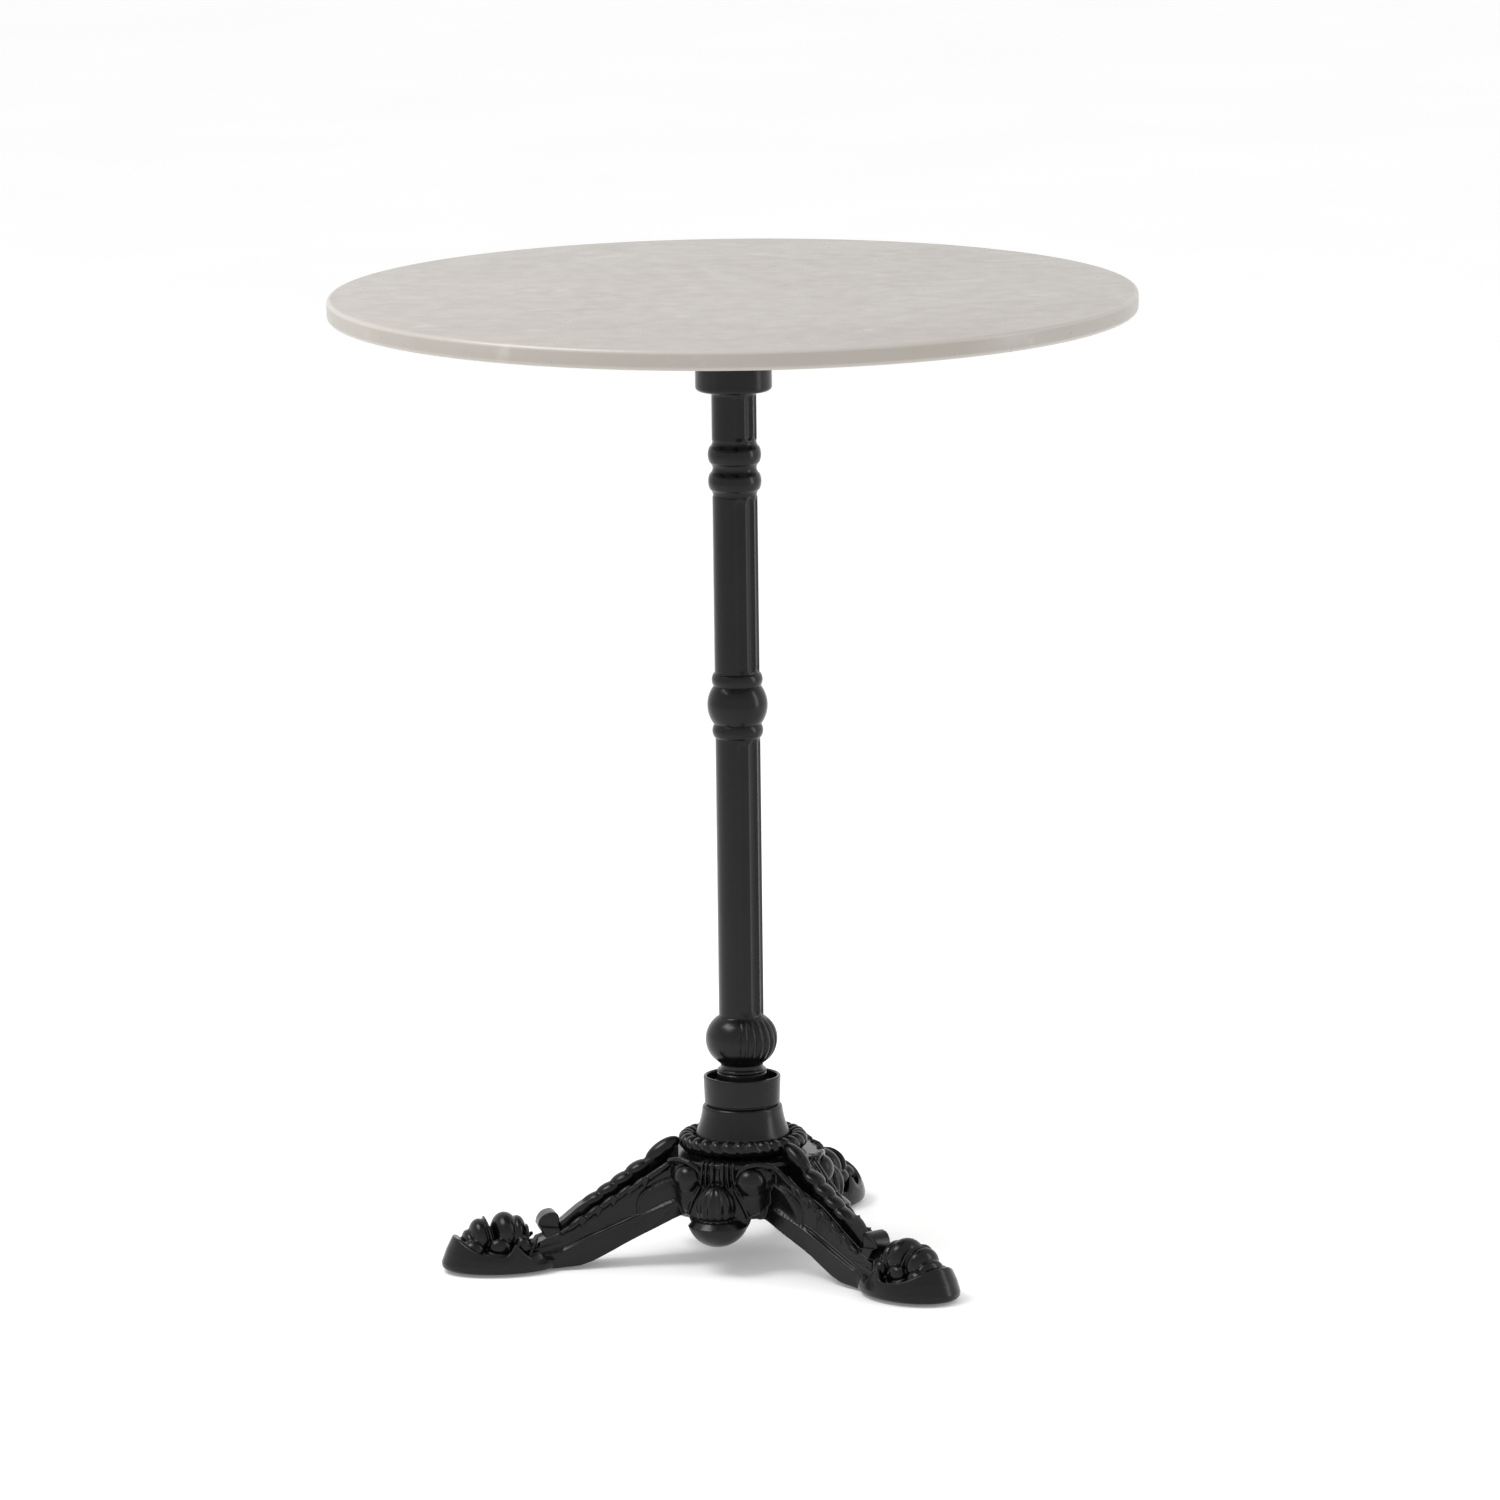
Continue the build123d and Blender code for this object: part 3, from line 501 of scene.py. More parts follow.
def column_casting():
    """The column: plain on one side and fluted on the other, with turned mouldings between."""
    at = column_levels()
    profile = [(6.5, at["top"]), (SHAFT + 3.4, at["top"])]
    profile += bow(profile[-1], (SHAFT + 1.0, at["top"] - 1.0), (SHAFT, at["top"] - 3.4), 5)
    profile += shaft_rows(at["top"] - 4.0, at["rings"] + 1.6)
    waist = at["rings"] - RING_HEIGHT
    for high_z, low_z in ((at["rings"], waist), (waist, at["rings_low"])):
        middle = (high_z + low_z) / 2
        start = (RING_VALLEY + 0.6, high_z)
        profile += bow(profile[-1], (RING_VALLEY + 0.8, high_z + 0.8), start, 3)
        cheek = (RING_RADIUS - 1.2, middle + 5.6)
        profile += bow(start, (RING_VALLEY + 1.4, high_z - 2.6), cheek, 6)
        belly_end = (RING_RADIUS - 1.2, middle - 5.6)
        profile += bow(cheek, (RING_RADIUS, middle), belly_end, 10)
        profile += bow(belly_end, (RING_VALLEY + 1.4, low_z + 2.6), (RING_VALLEY + 0.6, low_z), 6)
    profile += bow(profile[-1], (SHAFT - 0.4, at["rings_low"] - 0.8), (SHAFT, at["rings_low"] - 1.6), 3)
    profile += shaft_rows(at["rings_low"] - 2.0, at["beads"] + 1.6)
    profile += bow(profile[-1], (SHAFT + 0.2, at["beads"] + 0.4), (SHAFT + 0.9, at["beads"]), 3)
    bead_end = (BEAD_GROOVE, at["ball"])
    profile += bow(profile[-1], (BEAD_RADIUS, at["beads"] - BEAD_HEIGHT / 2), bead_end, 10)
    ball_end = (BEAD_GROOVE, at["ball_low"])
    profile += bow(bead_end, (BALL_RADIUS, (at["ball"] + at["ball_low"]) / 2), ball_end, 24)
    low_bead = (SHAFT + 0.9, at["beads_low"])
    profile += bow(ball_end, (BEAD_RADIUS, at["ball_low"] - BEAD_HEIGHT / 2), low_bead, 10)
    profile += bow(low_bead, (SHAFT + 0.2, at["beads_low"] - 0.4), (SHAFT, at["beads_low"] - 1.6), 3)
    profile += shaft_rows(at["beads_low"] - 2.0, at["bulb"] + 1.0)
    bulb_start = (SHAFT + 0.5, at["bulb"])
    profile.append(bulb_start)
    widest = (BULB_RADIUS / MM, at["bulb_low"] + BULB_RISE)
    profile += bow(bulb_start, widest, (SHAFT + 0.6, at["bulb_low"] + 1.2), 34)
    throat = (SHAFT - 0.6, at["bulb_low"] - 2.0)
    profile += bow(profile[-1], (SHAFT - 0.7, at["bulb_low"] - 0.6), throat, 4)
    collarette = (FLANGE_RADIUS - 0.9, at["neck"] + 1.2)
    profile += bow(throat, (SHAFT + 0.1, at["neck"] + 1.2), collarette, 4)
    profile += bow(collarette, (FLANGE_RADIUS - 0.2, at["neck"]), (FLANGE_RADIUS - 0.9, at["neck"] - 1.6), 5)
    profile += [(FLANGE_RADIUS - 0.2, at["neck"] - 2.4), (FLANGE_RADIUS, at["foot"]), (6.5, at["foot"])]
    bm = bmesh.new()
    spin(bm, profile, 360, closed=True)
    shafts = ((at["top"], at["rings"]), (at["rings_low"], at["beads"]), (at["beads_low"], at["bulb"]))
    for vert in bm.verts:
        radius, height = hypot(vert.co.x, vert.co.y) / MM, vert.co.z / MM
        turn = atan2(vert.co.y, vert.co.x) * 180 / pi
        cut = 0.0
        if abs(radius - SHAFT) < 0.02:
            for high_z, low_z in shafts:
                if low_z < height < high_z:
                    cut = flute_cut(turn, min(high_z - height, height - low_z))
        elif at["bulb_low"] < height < at["bulb"] and radius > SHAFT:
            cut = lobe_cut(turn, height, at)
        if cut:
            vert.co.xy *= (radius - cut) / radius
    return finish_piece(bm, "column_casting", IRON, ["column"])


def cup_collar():
    """Cup round the foot of the column: thin rolled rim, open recess, slightly tapered side."""
    radius, high_z, low_z = COLLAR_RADIUS / MM, COLLAR_TOP / MM, COLLAR_LOW / MM
    floor = high_z - CUP_DEPTH
    foot, bore = radius - 0.7, 14.1
    inner = radius - 2.6
    profile = outline((bore, low_z), (foot - 2.2, low_z), (foot - 2.2, low_z + 1.0),
                      ((foot - 1.4, low_z + 1.1), (foot, low_z + 1.8), 4),
                      (radius, high_z - 1.2), ((radius - 0.3, high_z - 0.3), (radius - 1.2, high_z), 5),
                      ((inner + 0.3, high_z - 0.3), (inner, high_z - 1.0), 4),
                      (inner, floor + 1.4), ((inner - 0.4, floor + 0.4), (inner - 1.4, floor), 4),
                      (bore, floor))
    bm = bmesh.new()
    spin(bm, profile, 160, closed=True)
    return finish_piece(bm, "cup_collar", IRON, ["socket_collar"])


# ---------------------------------------------------------------- base: turned middle
CONE_LIP, CONE_FOOT = 29.9, 35.6
CONE_HEIGHT = 22.0
ROPE_RADIUS, ROPE_TUBE, ROPE_DROP = 42.0, 6.6, 27.0
ROPE_LOBES, ROPE_TWIST, ROPE_GROOVE = 30, 0.55, 2.4
PLATE_DROP, PLATE_RADIUS, PLATE_THICKNESS = 34.8, 58.5, 5.0
PLATE_TOP = HUB_TOP / MM - PLATE_DROP
SKIRT, SKIRT_WALL, SKIRT_LOW = 57.0, 7.0, 40.0
BOSS, POCKET, POCKET_TOP, ROD_HOLE = 30.0, 21.0, 64.0, 6.5
BASE_PARTS = ["tripod_base"]


def hub_cone():
    """Flared cone under the cup, with the bright chamfered lip that the cup stands on."""
    high_z = HUB_TOP / MM
    foot_z = high_z - CONE_HEIGHT
    profile = outline((14.1, high_z), (CONE_LIP - 2.6, high_z),
                      ((CONE_LIP - 1.0, high_z - 0.5), (CONE_LIP, high_z - 1.9), 5),
                      (CONE_LIP + 0.1, high_z - 2.6),
                      ((CONE_LIP + 1.9, high_z - CONE_HEIGHT * 0.55), (CONE_FOOT, foot_z), 10),
                      (CONE_FOOT, foot_z - 8), (14.1, foot_z - 8))
    bm = bmesh.new()
    spin(bm, profile, 160, closed=True)
    return finish_piece(bm, "hub_cone", IRON, BASE_PARTS)


def rope_ring():
    """Ring of slanted lobes, like a thick rope laid round the foot of the cone."""
    sides = 32
    centre_z = HUB_TOP / MM - ROPE_DROP
    turns = [2 * pi * i / sides for i in range(sides)]
    profile = [(ROPE_RADIUS + ROPE_TUBE * cos(t), centre_z + ROPE_TUBE * sin(t)) for t in turns]
    bm = bmesh.new()
    spin(bm, profile, 540, closed=True)
    for vert in bm.verts:
        round_turn = atan2(vert.co.y, vert.co.x)
        out = Vector((cos(round_turn), sin(round_turn), 0))
        middle = out * ROPE_RADIUS * MM + Vector((0, 0, centre_z * MM))
        arm = vert.co - middle
        tube_turn = atan2(arm.z, arm.dot(out))
        wave = abs(sin((ROPE_LOBES * round_turn + 2 * ROPE_TWIST * sin(tube_turn)) / 2))
        upper = 0.4 + 0.3 * (1 + sin(tube_turn))
        vert.co = middle + arm * (1 - upper * ROPE_GROOVE / ROPE_TUBE * (1 - wave ** 0.75))
    return finish_piece(bm, "rope_ring", IRON, BASE_PARTS, limit=radians(70))


def hub_casting():
    """Turned plate with its skirt and the boss inside, hollow from below for the rod's nut."""
    inside = SKIRT - SKIRT_WALL
    web = PLATE_TOP - PLATE_THICKNESS
    profile = outline((ROD_HOLE, PLATE_TOP), (PLATE_RADIUS - 2.0, PLATE_TOP),
                      ((PLATE_RADIUS - 0.5, PLATE_TOP - 0.6), (PLATE_RADIUS, PLATE_TOP - 1.8), 5),
                      (PLATE_RADIUS, PLATE_TOP - 3.2),
                      ((PLATE_RADIUS - 0.6, web + 0.8), (SKIRT, web), 4),
                      (SKIRT - 1.5, 60.0), (SKIRT - 1.8, SKIRT_LOW + 2.0),
                      ((SKIRT - 2.6, SKIRT_LOW + 0.6), (SKIRT - 4.2, SKIRT_LOW), 4),
                      (inside + 1.5, SKIRT_LOW),
                      ((inside + 0.4, SKIRT_LOW + 0.4), (inside, SKIRT_LOW + 1.5), 4),
                      (inside, web - 3), ((inside - 1, web - 1), (inside - 3, web), 4),
                      (BOSS + 3, web), ((BOSS + 1, web - 1), (BOSS, web - 3), 4),
                      (BOSS, SKIRT_LOW + 1.2), (BOSS - 1.2, SKIRT_LOW), (POCKET + 1.0, SKIRT_LOW),
                      (POCKET, SKIRT_LOW + 1.0), (POCKET, POCKET_TOP), (ROD_HOLE, POCKET_TOP))
    bm = bmesh.new()
    spin(bm, profile, 180, closed=True)
    return finish_piece(bm, "hub_casting", IRON, BASE_PARTS)


# ---------------------------------------------------------------- base: one leg, along +X, in mm
FOOT_LOW = 2.0
FOOT_REACH = GLIDE_REACH / MM
SOLE_HALF_LENGTH, SOLE_HALF_WIDTH = 45.0, 31.5
CREST_LINE = ((50, 92.5), (54, 94.5), (60, 91), (76, 80), (90.5, 70), (110, 57), (126, 47.5), (141, 35.5))
EDGE_LINE = ((44, 83.5), (55, 82), (77, 67), (101, 53), (125, 38.5), (143, 28), (160, 22))
LEDGE_LINE = ((44, 54), (57, 52), (79, 42.5), (141, 16.8), (150, 15.6), (166, 15))
BELLY_LINE = ((40, 40), (50, 39.5), (58, 36.5), (78.5, 26), (105.7, 12), (118, 6.2), (128, 3.2), (147, 2))
SOLE_RINGS = 10
RIM_LINE = ((0, 27.5), (0.35, 27), (0.7, 23), (1.1, 17.5), (1.5, 15.7), (1.60, 17), (1.76, 25), (1.90, 18),
            (2.02, 14), (2.24, 17), (2.45, 12), (3.15, 12))
TOOTH_PLACES = (77.0, 88.5, 100.5, 112.5, 124.5)
SCALE_PLACES = (80.0, 91.5, 102.5, 113.5)
LEDGE_SLANT = ((0, 0), (0.6, 0.7), (1.2, 1.4), (1.8, 2.1), (2.4, 2.7))
LEG_SHEETS = ((27, 55.5, 71.5, (7.6, 15.0, 11.6)), (27, 52.0, 57.0, (7.4, 9.5, 18.0)))
BROW_LINE = ((47, 57.0, 72), (43, 59.0, 78), (37.5, 60.5, 81.8), (31, 61.5, 83), (25, 62.5, 82.6),
             (20, 63.5, 81))  # turn from the leg in degrees, radius and height
LEG_SLOPE = radians(32)


def edge_height(x):
    """Height of the leaf edges at x."""
    return line_height(EDGE_LINE, x)


def ledge_height(x):
    """Height of the ledge on the leg's side at x."""
    return line_height(LEDGE_LINE, x)


def belly_height(x):
    """Height of the leg's underside at x."""
    return line_height(BELLY_LINE, x)


def crest_height(x):
    """Height of the spine at x."""
    return line_height(CREST_LINE, x)


def flare(x, wide, slim):
    """Half width of the leg: wide at the skirt, slim from half way on."""
    return blend(wide, slim, (x - 56) / 42)


def stations(first, last, count):
    """Evenly spaced places from first to last."""
    return [first + (last - first) * i / (count - 1) for i in range(count)]


def band(bm, xs, high_line, low_line, half_width):
    """A wall along the leg between two lines of heights."""
    side = [(x, high_line(x)) for x in xs] + [(x, low_line(x)) for x in reversed(xs)]
    prism(bm, side, half_width)


def leg_body(bm):
    """Core, side walls, lower flange and root of one leg."""
    band(bm, stations(40, 172, 48), lambda x: edge_height(x) - blend(9.0, 1.8, (x - 58) / 42),
         belly_height, lambda x: flare(x, 15, 10.5))
    for hand in (-1, 1):
        wall = bmesh.new()
        band(wall, stations(57, 158, 46), lambda x: edge_height(x) - 0.6,
             lambda x: belly_height(x) + 2, lambda x: 2.2)
        for vert in wall.verts:
            vert.co.y += hand * flare(vert.co.x / MM, 16.6, 10.2) * MM
        turned_copies(bm, wall, [0])
    for drop, spread in LEDGE_SLANT:
        band(bm, stations(46, 166, 48), lambda x: ledge_height(x) - drop, belly_height,
             lambda x: flare(x, 20.0, 13.8) + spread)
    root = outline((44, 44), (44, 68), ((60, 67.5), (75, 60.5), 8), ((82, 54.5), (84, 44), 7), (84, 38))
    prism(bm, root, lambda x: flare(x, 20.6, 14.0))
    root_face = outline((44, 44), (44, 66.5), ((60, 66), (74, 59), 8), ((80.4, 53.5), (82, 44), 7), (82, 38))
    prism(bm, root_face, lambda x: flare(x, 21.6, 15.0))


def leg_edge(bm, hand):
    """Leaf edge along one side: lobes that overlap like shingles, each with a tooth hanging down."""
    for x in TOOTH_PLACES:
        y = hand * flare(x, 18.4, 12.4)
        middle = x + 6.0
        tilt = Matrix.Rotation(LEG_SLOPE + radians(9), 4, "Y")
        lump(bm, (middle, y, edge_height(middle) - 0.4), (8.8, 3.0, 2.5), tilt, (18, 12))
        place = Matrix.Translation(Vector((x + 0.8, y + hand * 2.2, edge_height(x) - 3.6)) * MM)
        lean = Matrix.Rotation(pi - radians(17), 4, "Y")
        flat = Matrix.Diagonal((1.0, 0.6, 1.0, 1.0))
        bmesh.ops.create_cone(bm, cap_ends=True, segments=4, radius1=3.9 * MM, radius2=0.4 * MM,
                              depth=9.6 * MM, matrix=place @ lean @ flat)
    shoulder = [(x, hand * flare(x, 19.2, 13.0), edge_height(x) - 0.4) for x in (60, 66, 71, 76)]
    chain(bm, shoulder, 2.5)
    run_out = [(x, hand * 12.6, edge_height(x) - 0.8) for x in (128, 141)]
    chain(bm, run_out, 1.6)
    points = [(r * cos(radians(a)), hand * r * sin(radians(a)), z) for a, r, z in BROW_LINE] + [shoulder[0]]
    chain(bm, points, 2.3)
    for angle, radius, height, radii in LEG_SHEETS:
        turn = radians(hand * angle)
        place = (radius * cos(turn), radius * sin(turn), height)
        lump(bm, place, radii, Matrix.Rotation(turn, 4, "Z"), (32, 20))


def leg_spine(bm):
    """Raised spine: a long drop at the hub, overlapping scales, then a smooth strip."""
    band(bm, stations(50, 146, 30), lambda x: min(crest_height(x), 91) - 2.8,
         lambda x: edge_height(x) - 14, lambda x: flare(x, 5.4, 5.6))
    drop_tilt = Matrix.Rotation(LEG_SLOPE + radians(2), 4, "Y")
    lump(bm, (61.5, 0, crest_height(61.5) - 5.2), (15.5, 7.0, 6.8), drop_tilt)
    chain(bm, [(54, 0, 92.4), (62, 0, 87.6), (71, 0, 81.6)], 2.0)
    for i, x in enumerate(SCALE_PLACES):
        tilt = Matrix.Rotation(LEG_SLOPE - radians(9), 4, "Y")
        lump(bm, (x, 0, crest_height(x) - 5.0), (11.0, 7.9 - 0.2 * i, 5.2), tilt, (28, 18))
        lump(bm, (x + 2.0, 0, crest_height(x + 2.0) - 3.2), (8.6, 2.8, 3.9), tilt, (18, 12))
    band(bm, stations(117, 147, 10), lambda x: crest_height(x) - 0.8, lambda x: edge_height(x) - 6,
         lambda x: 6.2)


def leg_knob(bm):
    """Rolled knob across the end of the spine, on a block whose front slants back to the heel."""
    roll = outline((141.6, 22), (141.8, 38.2), ((143.4, 42.0), (148.6, 43.2), 6),
                   ((155.0, 40.2), (157.8, 33.6), 8), (155.5, 29), (149, 20))
    prism(bm, roll, lambda x: 8.6 - 1.6 * ((x - 149) / 8) ** 2)
    block = outline((136, 15), (139.5, 27.5), (143, 31.5), (157.5, 33), (147.0, 16), (146, 12))
    prism(bm, block, lambda x: 10.6)
    step = outline((138, 10), (138, 22), (150, 19.5), (166, 16.5), (168, 10))
    prism(bm, step, lambda x: blend(12.5, 15, (x - 140) / 20))


def rim_share(height):
    """How far out the sole's rim lies: the higher it rises, the more the side leans in."""
    return 1.0 - 0.0095 * max(0.0, height - 9)


def sole_rings(rim):
    """Share of the oval's size and height of each ring, from underneath up and over a rim's height."""
    share = rim_share(rim)
    side = FOOT_LOW + 5.5
    return ((0.88, FOOT_LOW), (0.955, FOOT_LOW + 0.8), (0.992, FOOT_LOW + 2.6), (1.0, side),
            ((1.0 + share) / 2 + 0.008, (side + rim) / 2), (share + 0.004, rim - 1.6), (share - 0.02, rim),
            (share - 0.085, rim - 0.6), (share - 0.13, rim - 3.0), (0.56, 12.5))


def foot_sole(bm):
    """Oval sole with a rounded lower edge, a leaning side and the wavy raised rim."""
    loop = bmesh.ops.create_circle(bm, cap_ends=False, radius=1.0, segments=128)["verts"]
    edges = list({e for v in loop for e in v.link_edges})
    bmesh.ops.contextual_create(bm, geom=edges)
    made = [loop]
    for _ in range(SOLE_RINGS - 1):
        grown = bmesh.ops.extrude_edge_only(bm, edges=edges)["geom"]
        made.append([g for g in grown if isinstance(g, bmesh.types.BMVert)])
        edges = [g for g in grown if isinstance(g, bmesh.types.BMEdge)]
    bmesh.ops.contextual_create(bm, geom=edges)
    for number, verts in enumerate(made):
        for vert in verts:
            turn = atan2(vert.co.y, vert.co.x)
            share, height = sole_rings(line_height(RIM_LINE, abs(turn)))[number]
            x = FOOT_REACH + SOLE_HALF_LENGTH * share * cos(turn)
            vert.co = Vector((x, SOLE_HALF_WIDTH * share * sin(turn), height)) * MM


def foot_rose(bm):
    """Rosette on the foot: a big bud and a smaller one in front, each in soft folds, and side curls."""
    folds = ((173.6, 26.6, (7.4, 15.0, 14.2), -6), (182.2, 28.4, (11.2, 16.4, 15.5), 2),
             (200.6, 26.0, (9.0, 14.4, 13.8), 8), (208.0, 21.5, (6.4, 13.0, 10.5), 16))
    for x, z, radii, lean in folds:
        lump(bm, (x, 0, z), radii, Matrix.Rotation(radians(lean), 4, "Y"), (32, 20))
    lump(bm, (194.4, 0, 27.0), (2.2, 16.2, 15.2), Matrix.Rotation(radians(14), 4, "Y"), (32, 20))
    lump(bm, (166.8, 0, 22.5), (2.2, 13.0, 11.5), Matrix.Rotation(radians(-8), 4, "Y"), (32, 20))
    for hand in (-1, 1):
        lump(bm, (170.5, hand * 14.0, 19.5), (7.0, 6.4, 8.4), Matrix.Rotation(radians(hand * 20), 4, "Z"))
        lump(bm, (188.0, hand * 14.5, 19.0), (9.0, 6.0, 8.0))
        swing = Matrix.Rotation(radians(-hand * 30), 4, "Z")
        lump(bm, (208.0, hand * 11.0, 18.0), (9.0, 7.5, 8.0), swing)
        chain(bm, [(160, hand * 11, 24), (163.5, hand * 15, 19), (166, hand * 17.5, 14)], 1.6)
    lump(bm, (190.0, 0, 14.0), (26.0, 21.0, 5.5), fineness=(40, 16))
    lump(bm, (214.0, 0, 15.0), (8.0, 15.0, 7.0))


def one_leg():
    """Every shape of one leg and foot, ready to be melted together."""
    bm = bmesh.new()
    leg_body(bm)
    for hand in (-1, 1):
        leg_edge(bm, hand)
    leg_spine(bm)
    leg_knob(bm)
    foot_sole(bm)
    foot_rose(bm)
    return bm


def glide_recess():
    """What is bored out of the sole for one glide: its pad's recess and its stem's thread."""
    pad_low, pad_high = low("glide_pad_1") / MM, high("glide_pad_1") / MM
    recess, thread, gap = 13.5, 4.1, 1.0
    mouth, roof, stem_top = pad_low - 5, pad_high + gap, high("glide_stem_1") / MM + gap
    profile = [(0, mouth), (recess, mouth), (recess, roof), (thread, roof), (thread, stem_top), (0, stem_top)]
    bm = bmesh.new()
    spin(bm, profile, 64)
    bmesh.ops.translate(bm, verts=bm.verts, vec=(GLIDE_REACH, 0, 0))
    return bm


# ---------------------------------------------------------------- base: pendant between two legs
BOWL_CENTRE = (58.5, 0, 43.5)
BOWL_SIZE = (24.5, 23.4, 23.3)
BOWL_RIM = 36.6
BOWL_CHAMFER = 4.4
SHELL_CENTRE = (63.4, 0, 51.0)
SHELL_SIZE = (13.6, 14.9, 16.6)
SHELL_RIB_PITCH, SHELL_GROOVE = radians(31), 0.15
CASTING_VOXEL, QUICK_VOXEL, KEPT_SHARE = 0.6, 1.3, 0.6
PLEATS = ((-12.6, 1.8, 3), (-8.8, 1.5, 2), (-4.0, 2.7, 0), (4.0, 2.5, 0), (8.4, 1.6, -2), (12.4, 1.8, -3))


def pendant_bowl(bm):
    """Open bowl with a sloping rim, hung on the skirt."""
    bowl = bmesh.new()
    lump(bowl, BOWL_CENTRE, BOWL_SIZE, fineness=(64, 40))
    split = bmesh.ops.bisect_plane(bowl, geom=bowl.verts[:] + bowl.edges[:] + bowl.faces[:],
                                   plane_co=(0, 0, BOWL_RIM * MM), plane_no=(0, 0, 1), clear_outer=True)
    rim = [g for g in split["geom_cut"] if isinstance(g, bmesh.types.BMEdge)]
    lid = bmesh.ops.contextual_create(bowl, geom=rim)["faces"]
    bmesh.ops.inset_region(bowl, faces=lid, thickness=BOWL_CHAMFER * MM, depth=BOWL_CHAMFER * MM,
                           use_even_offset=True)
    bmesh.ops.triangulate(bowl, faces=bowl.faces)
    turned_copies(bm, bowl, [0])


def pendant_shell(bm):
    """Upright shell: a dome with broad ribs that run together at its top and foot."""
    shell = bmesh.new()
    lump(shell, (0, 0, 0), SHELL_SIZE, fineness=(160, 48))
    for vert in shell.verts:
        wave = abs(cos(pi * atan2(vert.co.y, vert.co.x) / SHELL_RIB_PITCH))
        vert.co.xy *= 1 - SHELL_GROOVE * (1 - wave ** 0.7)
    bmesh.ops.translate(shell, verts=shell.verts, vec=Vector(SHELL_CENTRE) * MM)
    turned_copies(bm, shell, [0])


def pendant():
    """Ornament between two legs, along +X: bowl, ribbed shell, pleats and two ears."""
    bm = bmesh.new()
    pendant_bowl(bm)
    pendant_shell(bm)
    lump(bm, (54.5, 0, 47.0), (7.5, 25.5, 23.0), fineness=(40, 24))
    for y, width, lean in PLEATS:
        tilt = Matrix.Rotation(radians(-lean * 1.5), 4, "X") @ Matrix.Rotation(radians(6), 4, "Y")
        lump(bm, (57.2 - 0.012 * y * y, y, 73.0), (5.2, width, 11.5), tilt, (14, 16))
    lump(bm, (54.0, 0, 72.0), (5.0, 15.0, 11.0))
    for hand in (-1, 1):
        swing = Matrix.Rotation(radians(hand * 18), 4, "Z")
        lump(bm, (54.5, hand * 25.0, 69.0), (9.6, 11.4, 11.2), swing, (32, 20))
        lump(bm, (52.0, hand * 25.0, 59.5), (8.6, 11.2, 16.0), swing, (32, 20))
        chain(bm, [(60, hand * 14.0, 64), (60, hand * 19.5, 54), (58, hand * 23.5, 44)], 1.5)
    return bm


def skirt_bore():
    """Round bar that clears the pendant's back from the inside of the skirt."""
    bm = bmesh.new()
    radius, height = SKIRT - SKIRT_WALL / 2, HUB_TOP / MM
    spin(bm, [(0, 0), (radius, 0), (radius, height), (0, height)], 96)
    return bm


def repeat_casting(fused, name, turns):
    """The same casting at each turn round the column, as separate pieces."""
    for number, turn in enumerate(turns, start=1):
        bm = fused.copy()
        bmesh.ops.rotate(bm, verts=bm.verts, cent=(0, 0, 0), matrix=Matrix.Rotation(turn, 3, "Z"))
        finish_piece(bm, f"{name}_{number}", IRON, BASE_PARTS, limit=radians(80))
    fused.free()


def base_castings():
    """Three legs with their feet and the three pendants between them."""
    voxel = CASTING_VOXEL
    repeat_casting(fuse(one_leg(), voxel, KEPT_SHARE, glide_recess()), "leg_casting", LEG_TURNS)
    repeat_casting(fuse(pendant(), voxel, KEPT_SHARE, skirt_bore()), "pendant", BETWEEN_LEGS)


# ---------------------------------------------------------------- carried-over CAD nodes
def repaint():
    """Gives every CAD node that is still shown its finish."""
    finishes = {"black_iron": IRON, "zinc_steel": ZINC, "brass": BRASS, "black_rubber": RUBBER,
                "black_nylon": NYLON, "stone": MARBLE}
    slots = {part["node"]: part["material_slot"] for part in frame["record"]["subparts"]}
    for node, thing in frame["nodes"].items():
        thing.data.materials.clear()
        thing.data.materials.append(finishes[slots[node]])


# ---------------------------------------------------------------- studio
CAMERA_TURN = radians(-11.0)
CAMERA_PITCH = radians(10.38)
CAMERA_ROLL = radians(0.689)
CAMERA_DISTANCE = 7.883
CAMERA_ABOVE_TOP = 1.10
CAMERA_ASIDE = 0.0089
CAMERA_LENS = 258.3
ROOM_TONES = ((0.30, 1.06), (0.60, 0.80))  # sine of the height above the horizon, and the tone there
FLOOR_HALF_SIZE = 12.0


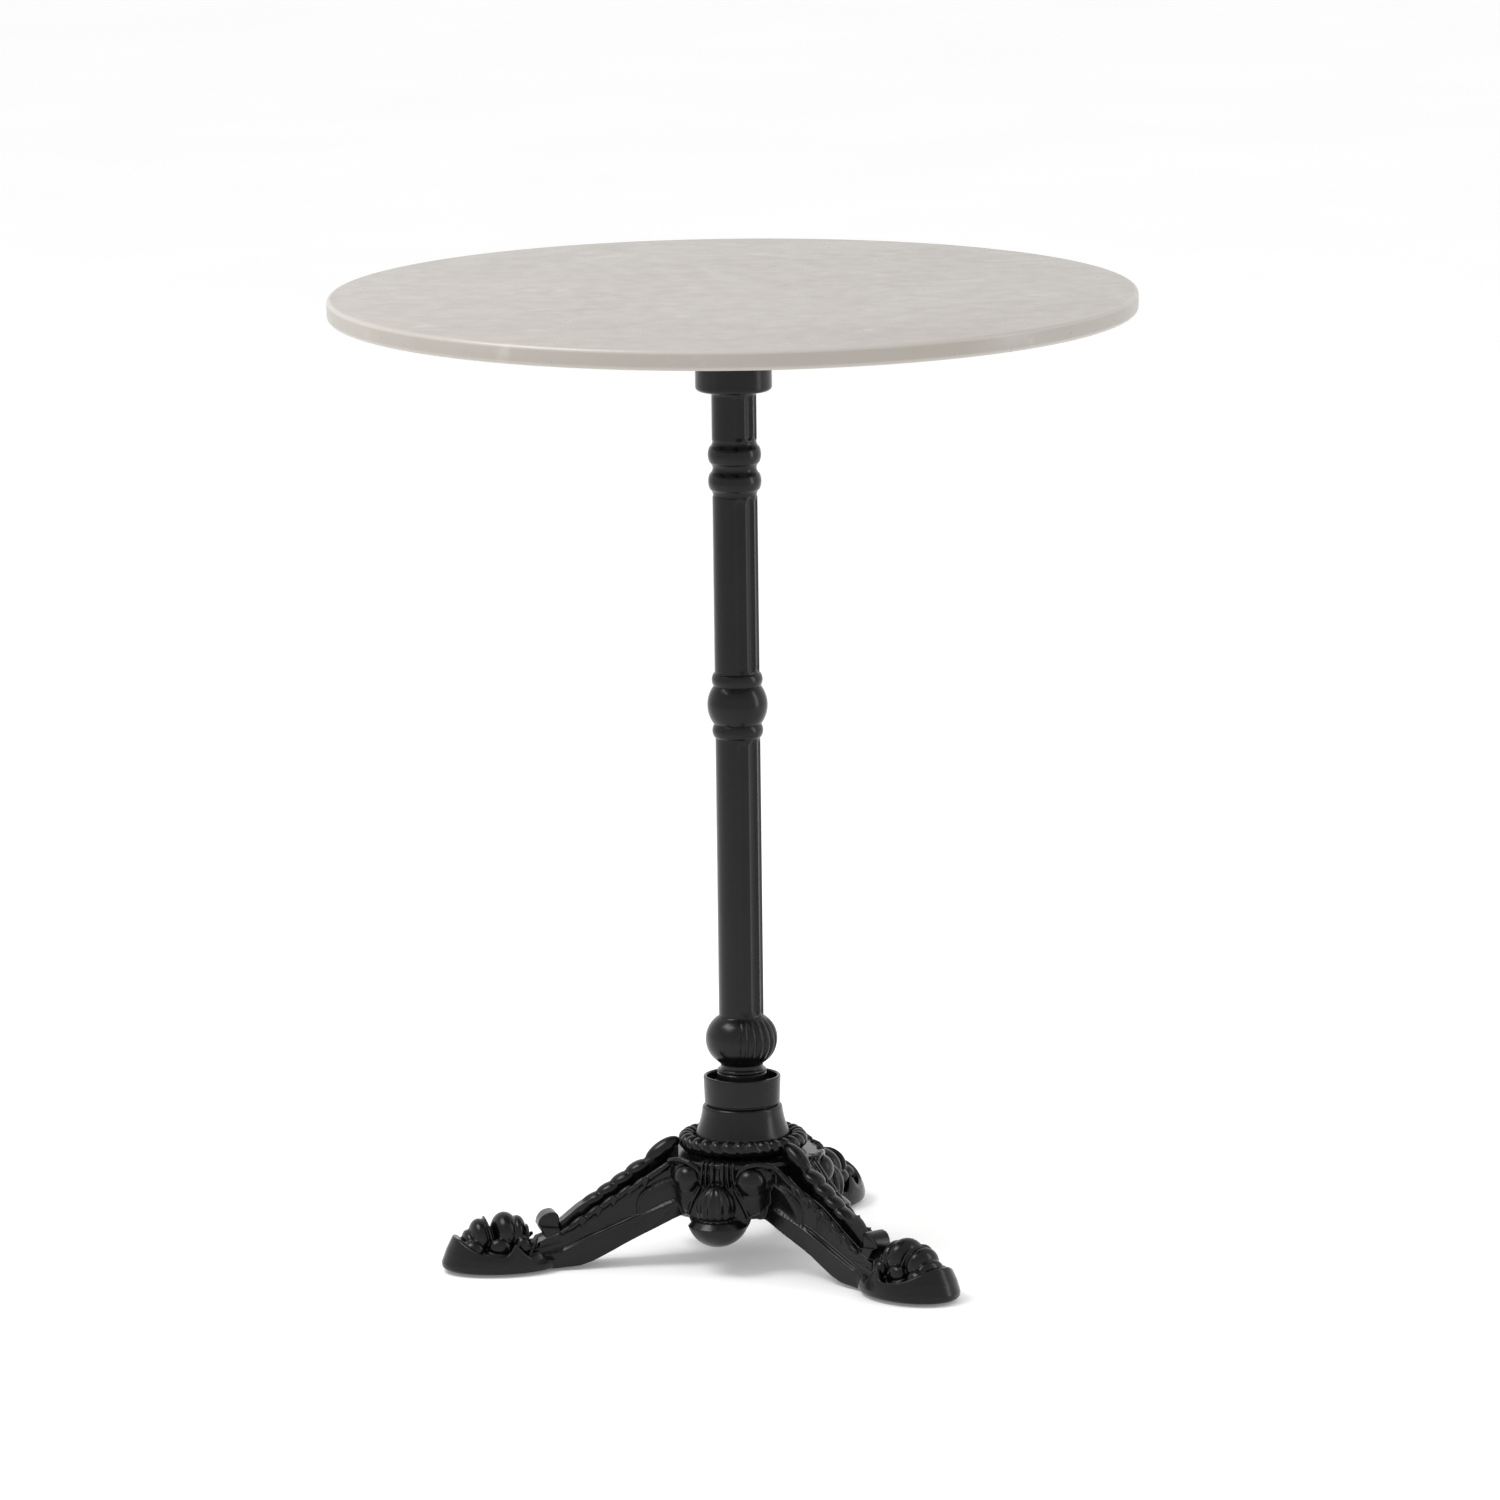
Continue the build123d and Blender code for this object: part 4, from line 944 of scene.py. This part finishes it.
def studio_camera():
    """Long lens, looking slightly down at the table from the front."""
    data = bpy.data.cameras.new("camera")
    data.sensor_width = 36.0
    data.lens = CAMERA_LENS
    data.clip_end = 100.0
    camera = bpy.data.objects.new("camera", data)
    scene.collection.objects.link(camera)
    stand = Matrix.Translation((CAMERA_ASIDE, -CAMERA_DISTANCE, TOP_FACE + CAMERA_ABOVE_TOP))
    tilt = Matrix.Rotation(pi / 2 - CAMERA_PITCH, 4, "X")
    camera.matrix_world = (Matrix.Rotation(CAMERA_TURN, 4, "Z") @ stand @ tilt
                           @ Matrix.Rotation(-CAMERA_ROLL, 4, "Z"))
    scene.camera = camera


def soft_light(name, place, aim, size, power):
    """One soft rectangular light, aimed at a point. Its place turns with the camera."""
    data = bpy.data.lights.new(name, "AREA")
    data.shape = "RECTANGLE"
    data.size, data.size_y = size
    data.energy = power
    light = bpy.data.objects.new(name, data)
    scene.collection.objects.link(light)
    spot = Matrix.Rotation(CAMERA_TURN, 4, "Z") @ Vector(place)
    light.location = spot
    light.rotation_euler = (Vector(aim) - spot).to_track_quat("-Z", "Y").to_euler()


def studio():
    """White paper floor, white surroundings and soft light."""
    bm = bmesh.new()
    bmesh.ops.create_grid(bm, x_segments=1, y_segments=1, size=FLOOR_HALF_SIZE)
    mesh = bpy.data.meshes.new("floor")
    bm.to_mesh(mesh)
    bm.free()
    mesh.materials.append(studio_paper())
    floor = bpy.data.objects.new("floor", mesh)
    scene.collection.objects.link(floor)
    world = bpy.data.worlds.new("studio")
    world.use_nodes = True
    nodes, links = world.node_tree.nodes, world.node_tree.links
    height = nodes.new("ShaderNodeSeparateXYZ")
    links.new(nodes.new("ShaderNodeTexCoord").outputs["Generated"], height.inputs["Vector"])
    walls = nodes.new("ShaderNodeValToRGB")
    for mark, (place, value) in zip(walls.color_ramp.elements, ROOM_TONES):
        mark.position = place
        mark.color = (value, value, value, 1.0)
    links.new(height.outputs["Z"], walls.inputs["Fac"])
    links.new(walls.outputs["Color"], nodes["Background"].inputs["Color"])
    scene.world = world
    soft_light("ceiling", (-1.4, -0.45, 2.5), (0, 0, 0.2), (1.4, 1.2), 38.0)
    soft_light("right_wall", (2.8, -0.4, 1.2), (0, 0, 0.4), (0.5, 2.2), 14.0)
    scene.view_settings.view_transform = "Standard"


stone_top()
column_casting()
cup_collar()
hub_cone()
rope_ring()
hub_casting()
base_castings()
repaint()
studio_camera()
studio()
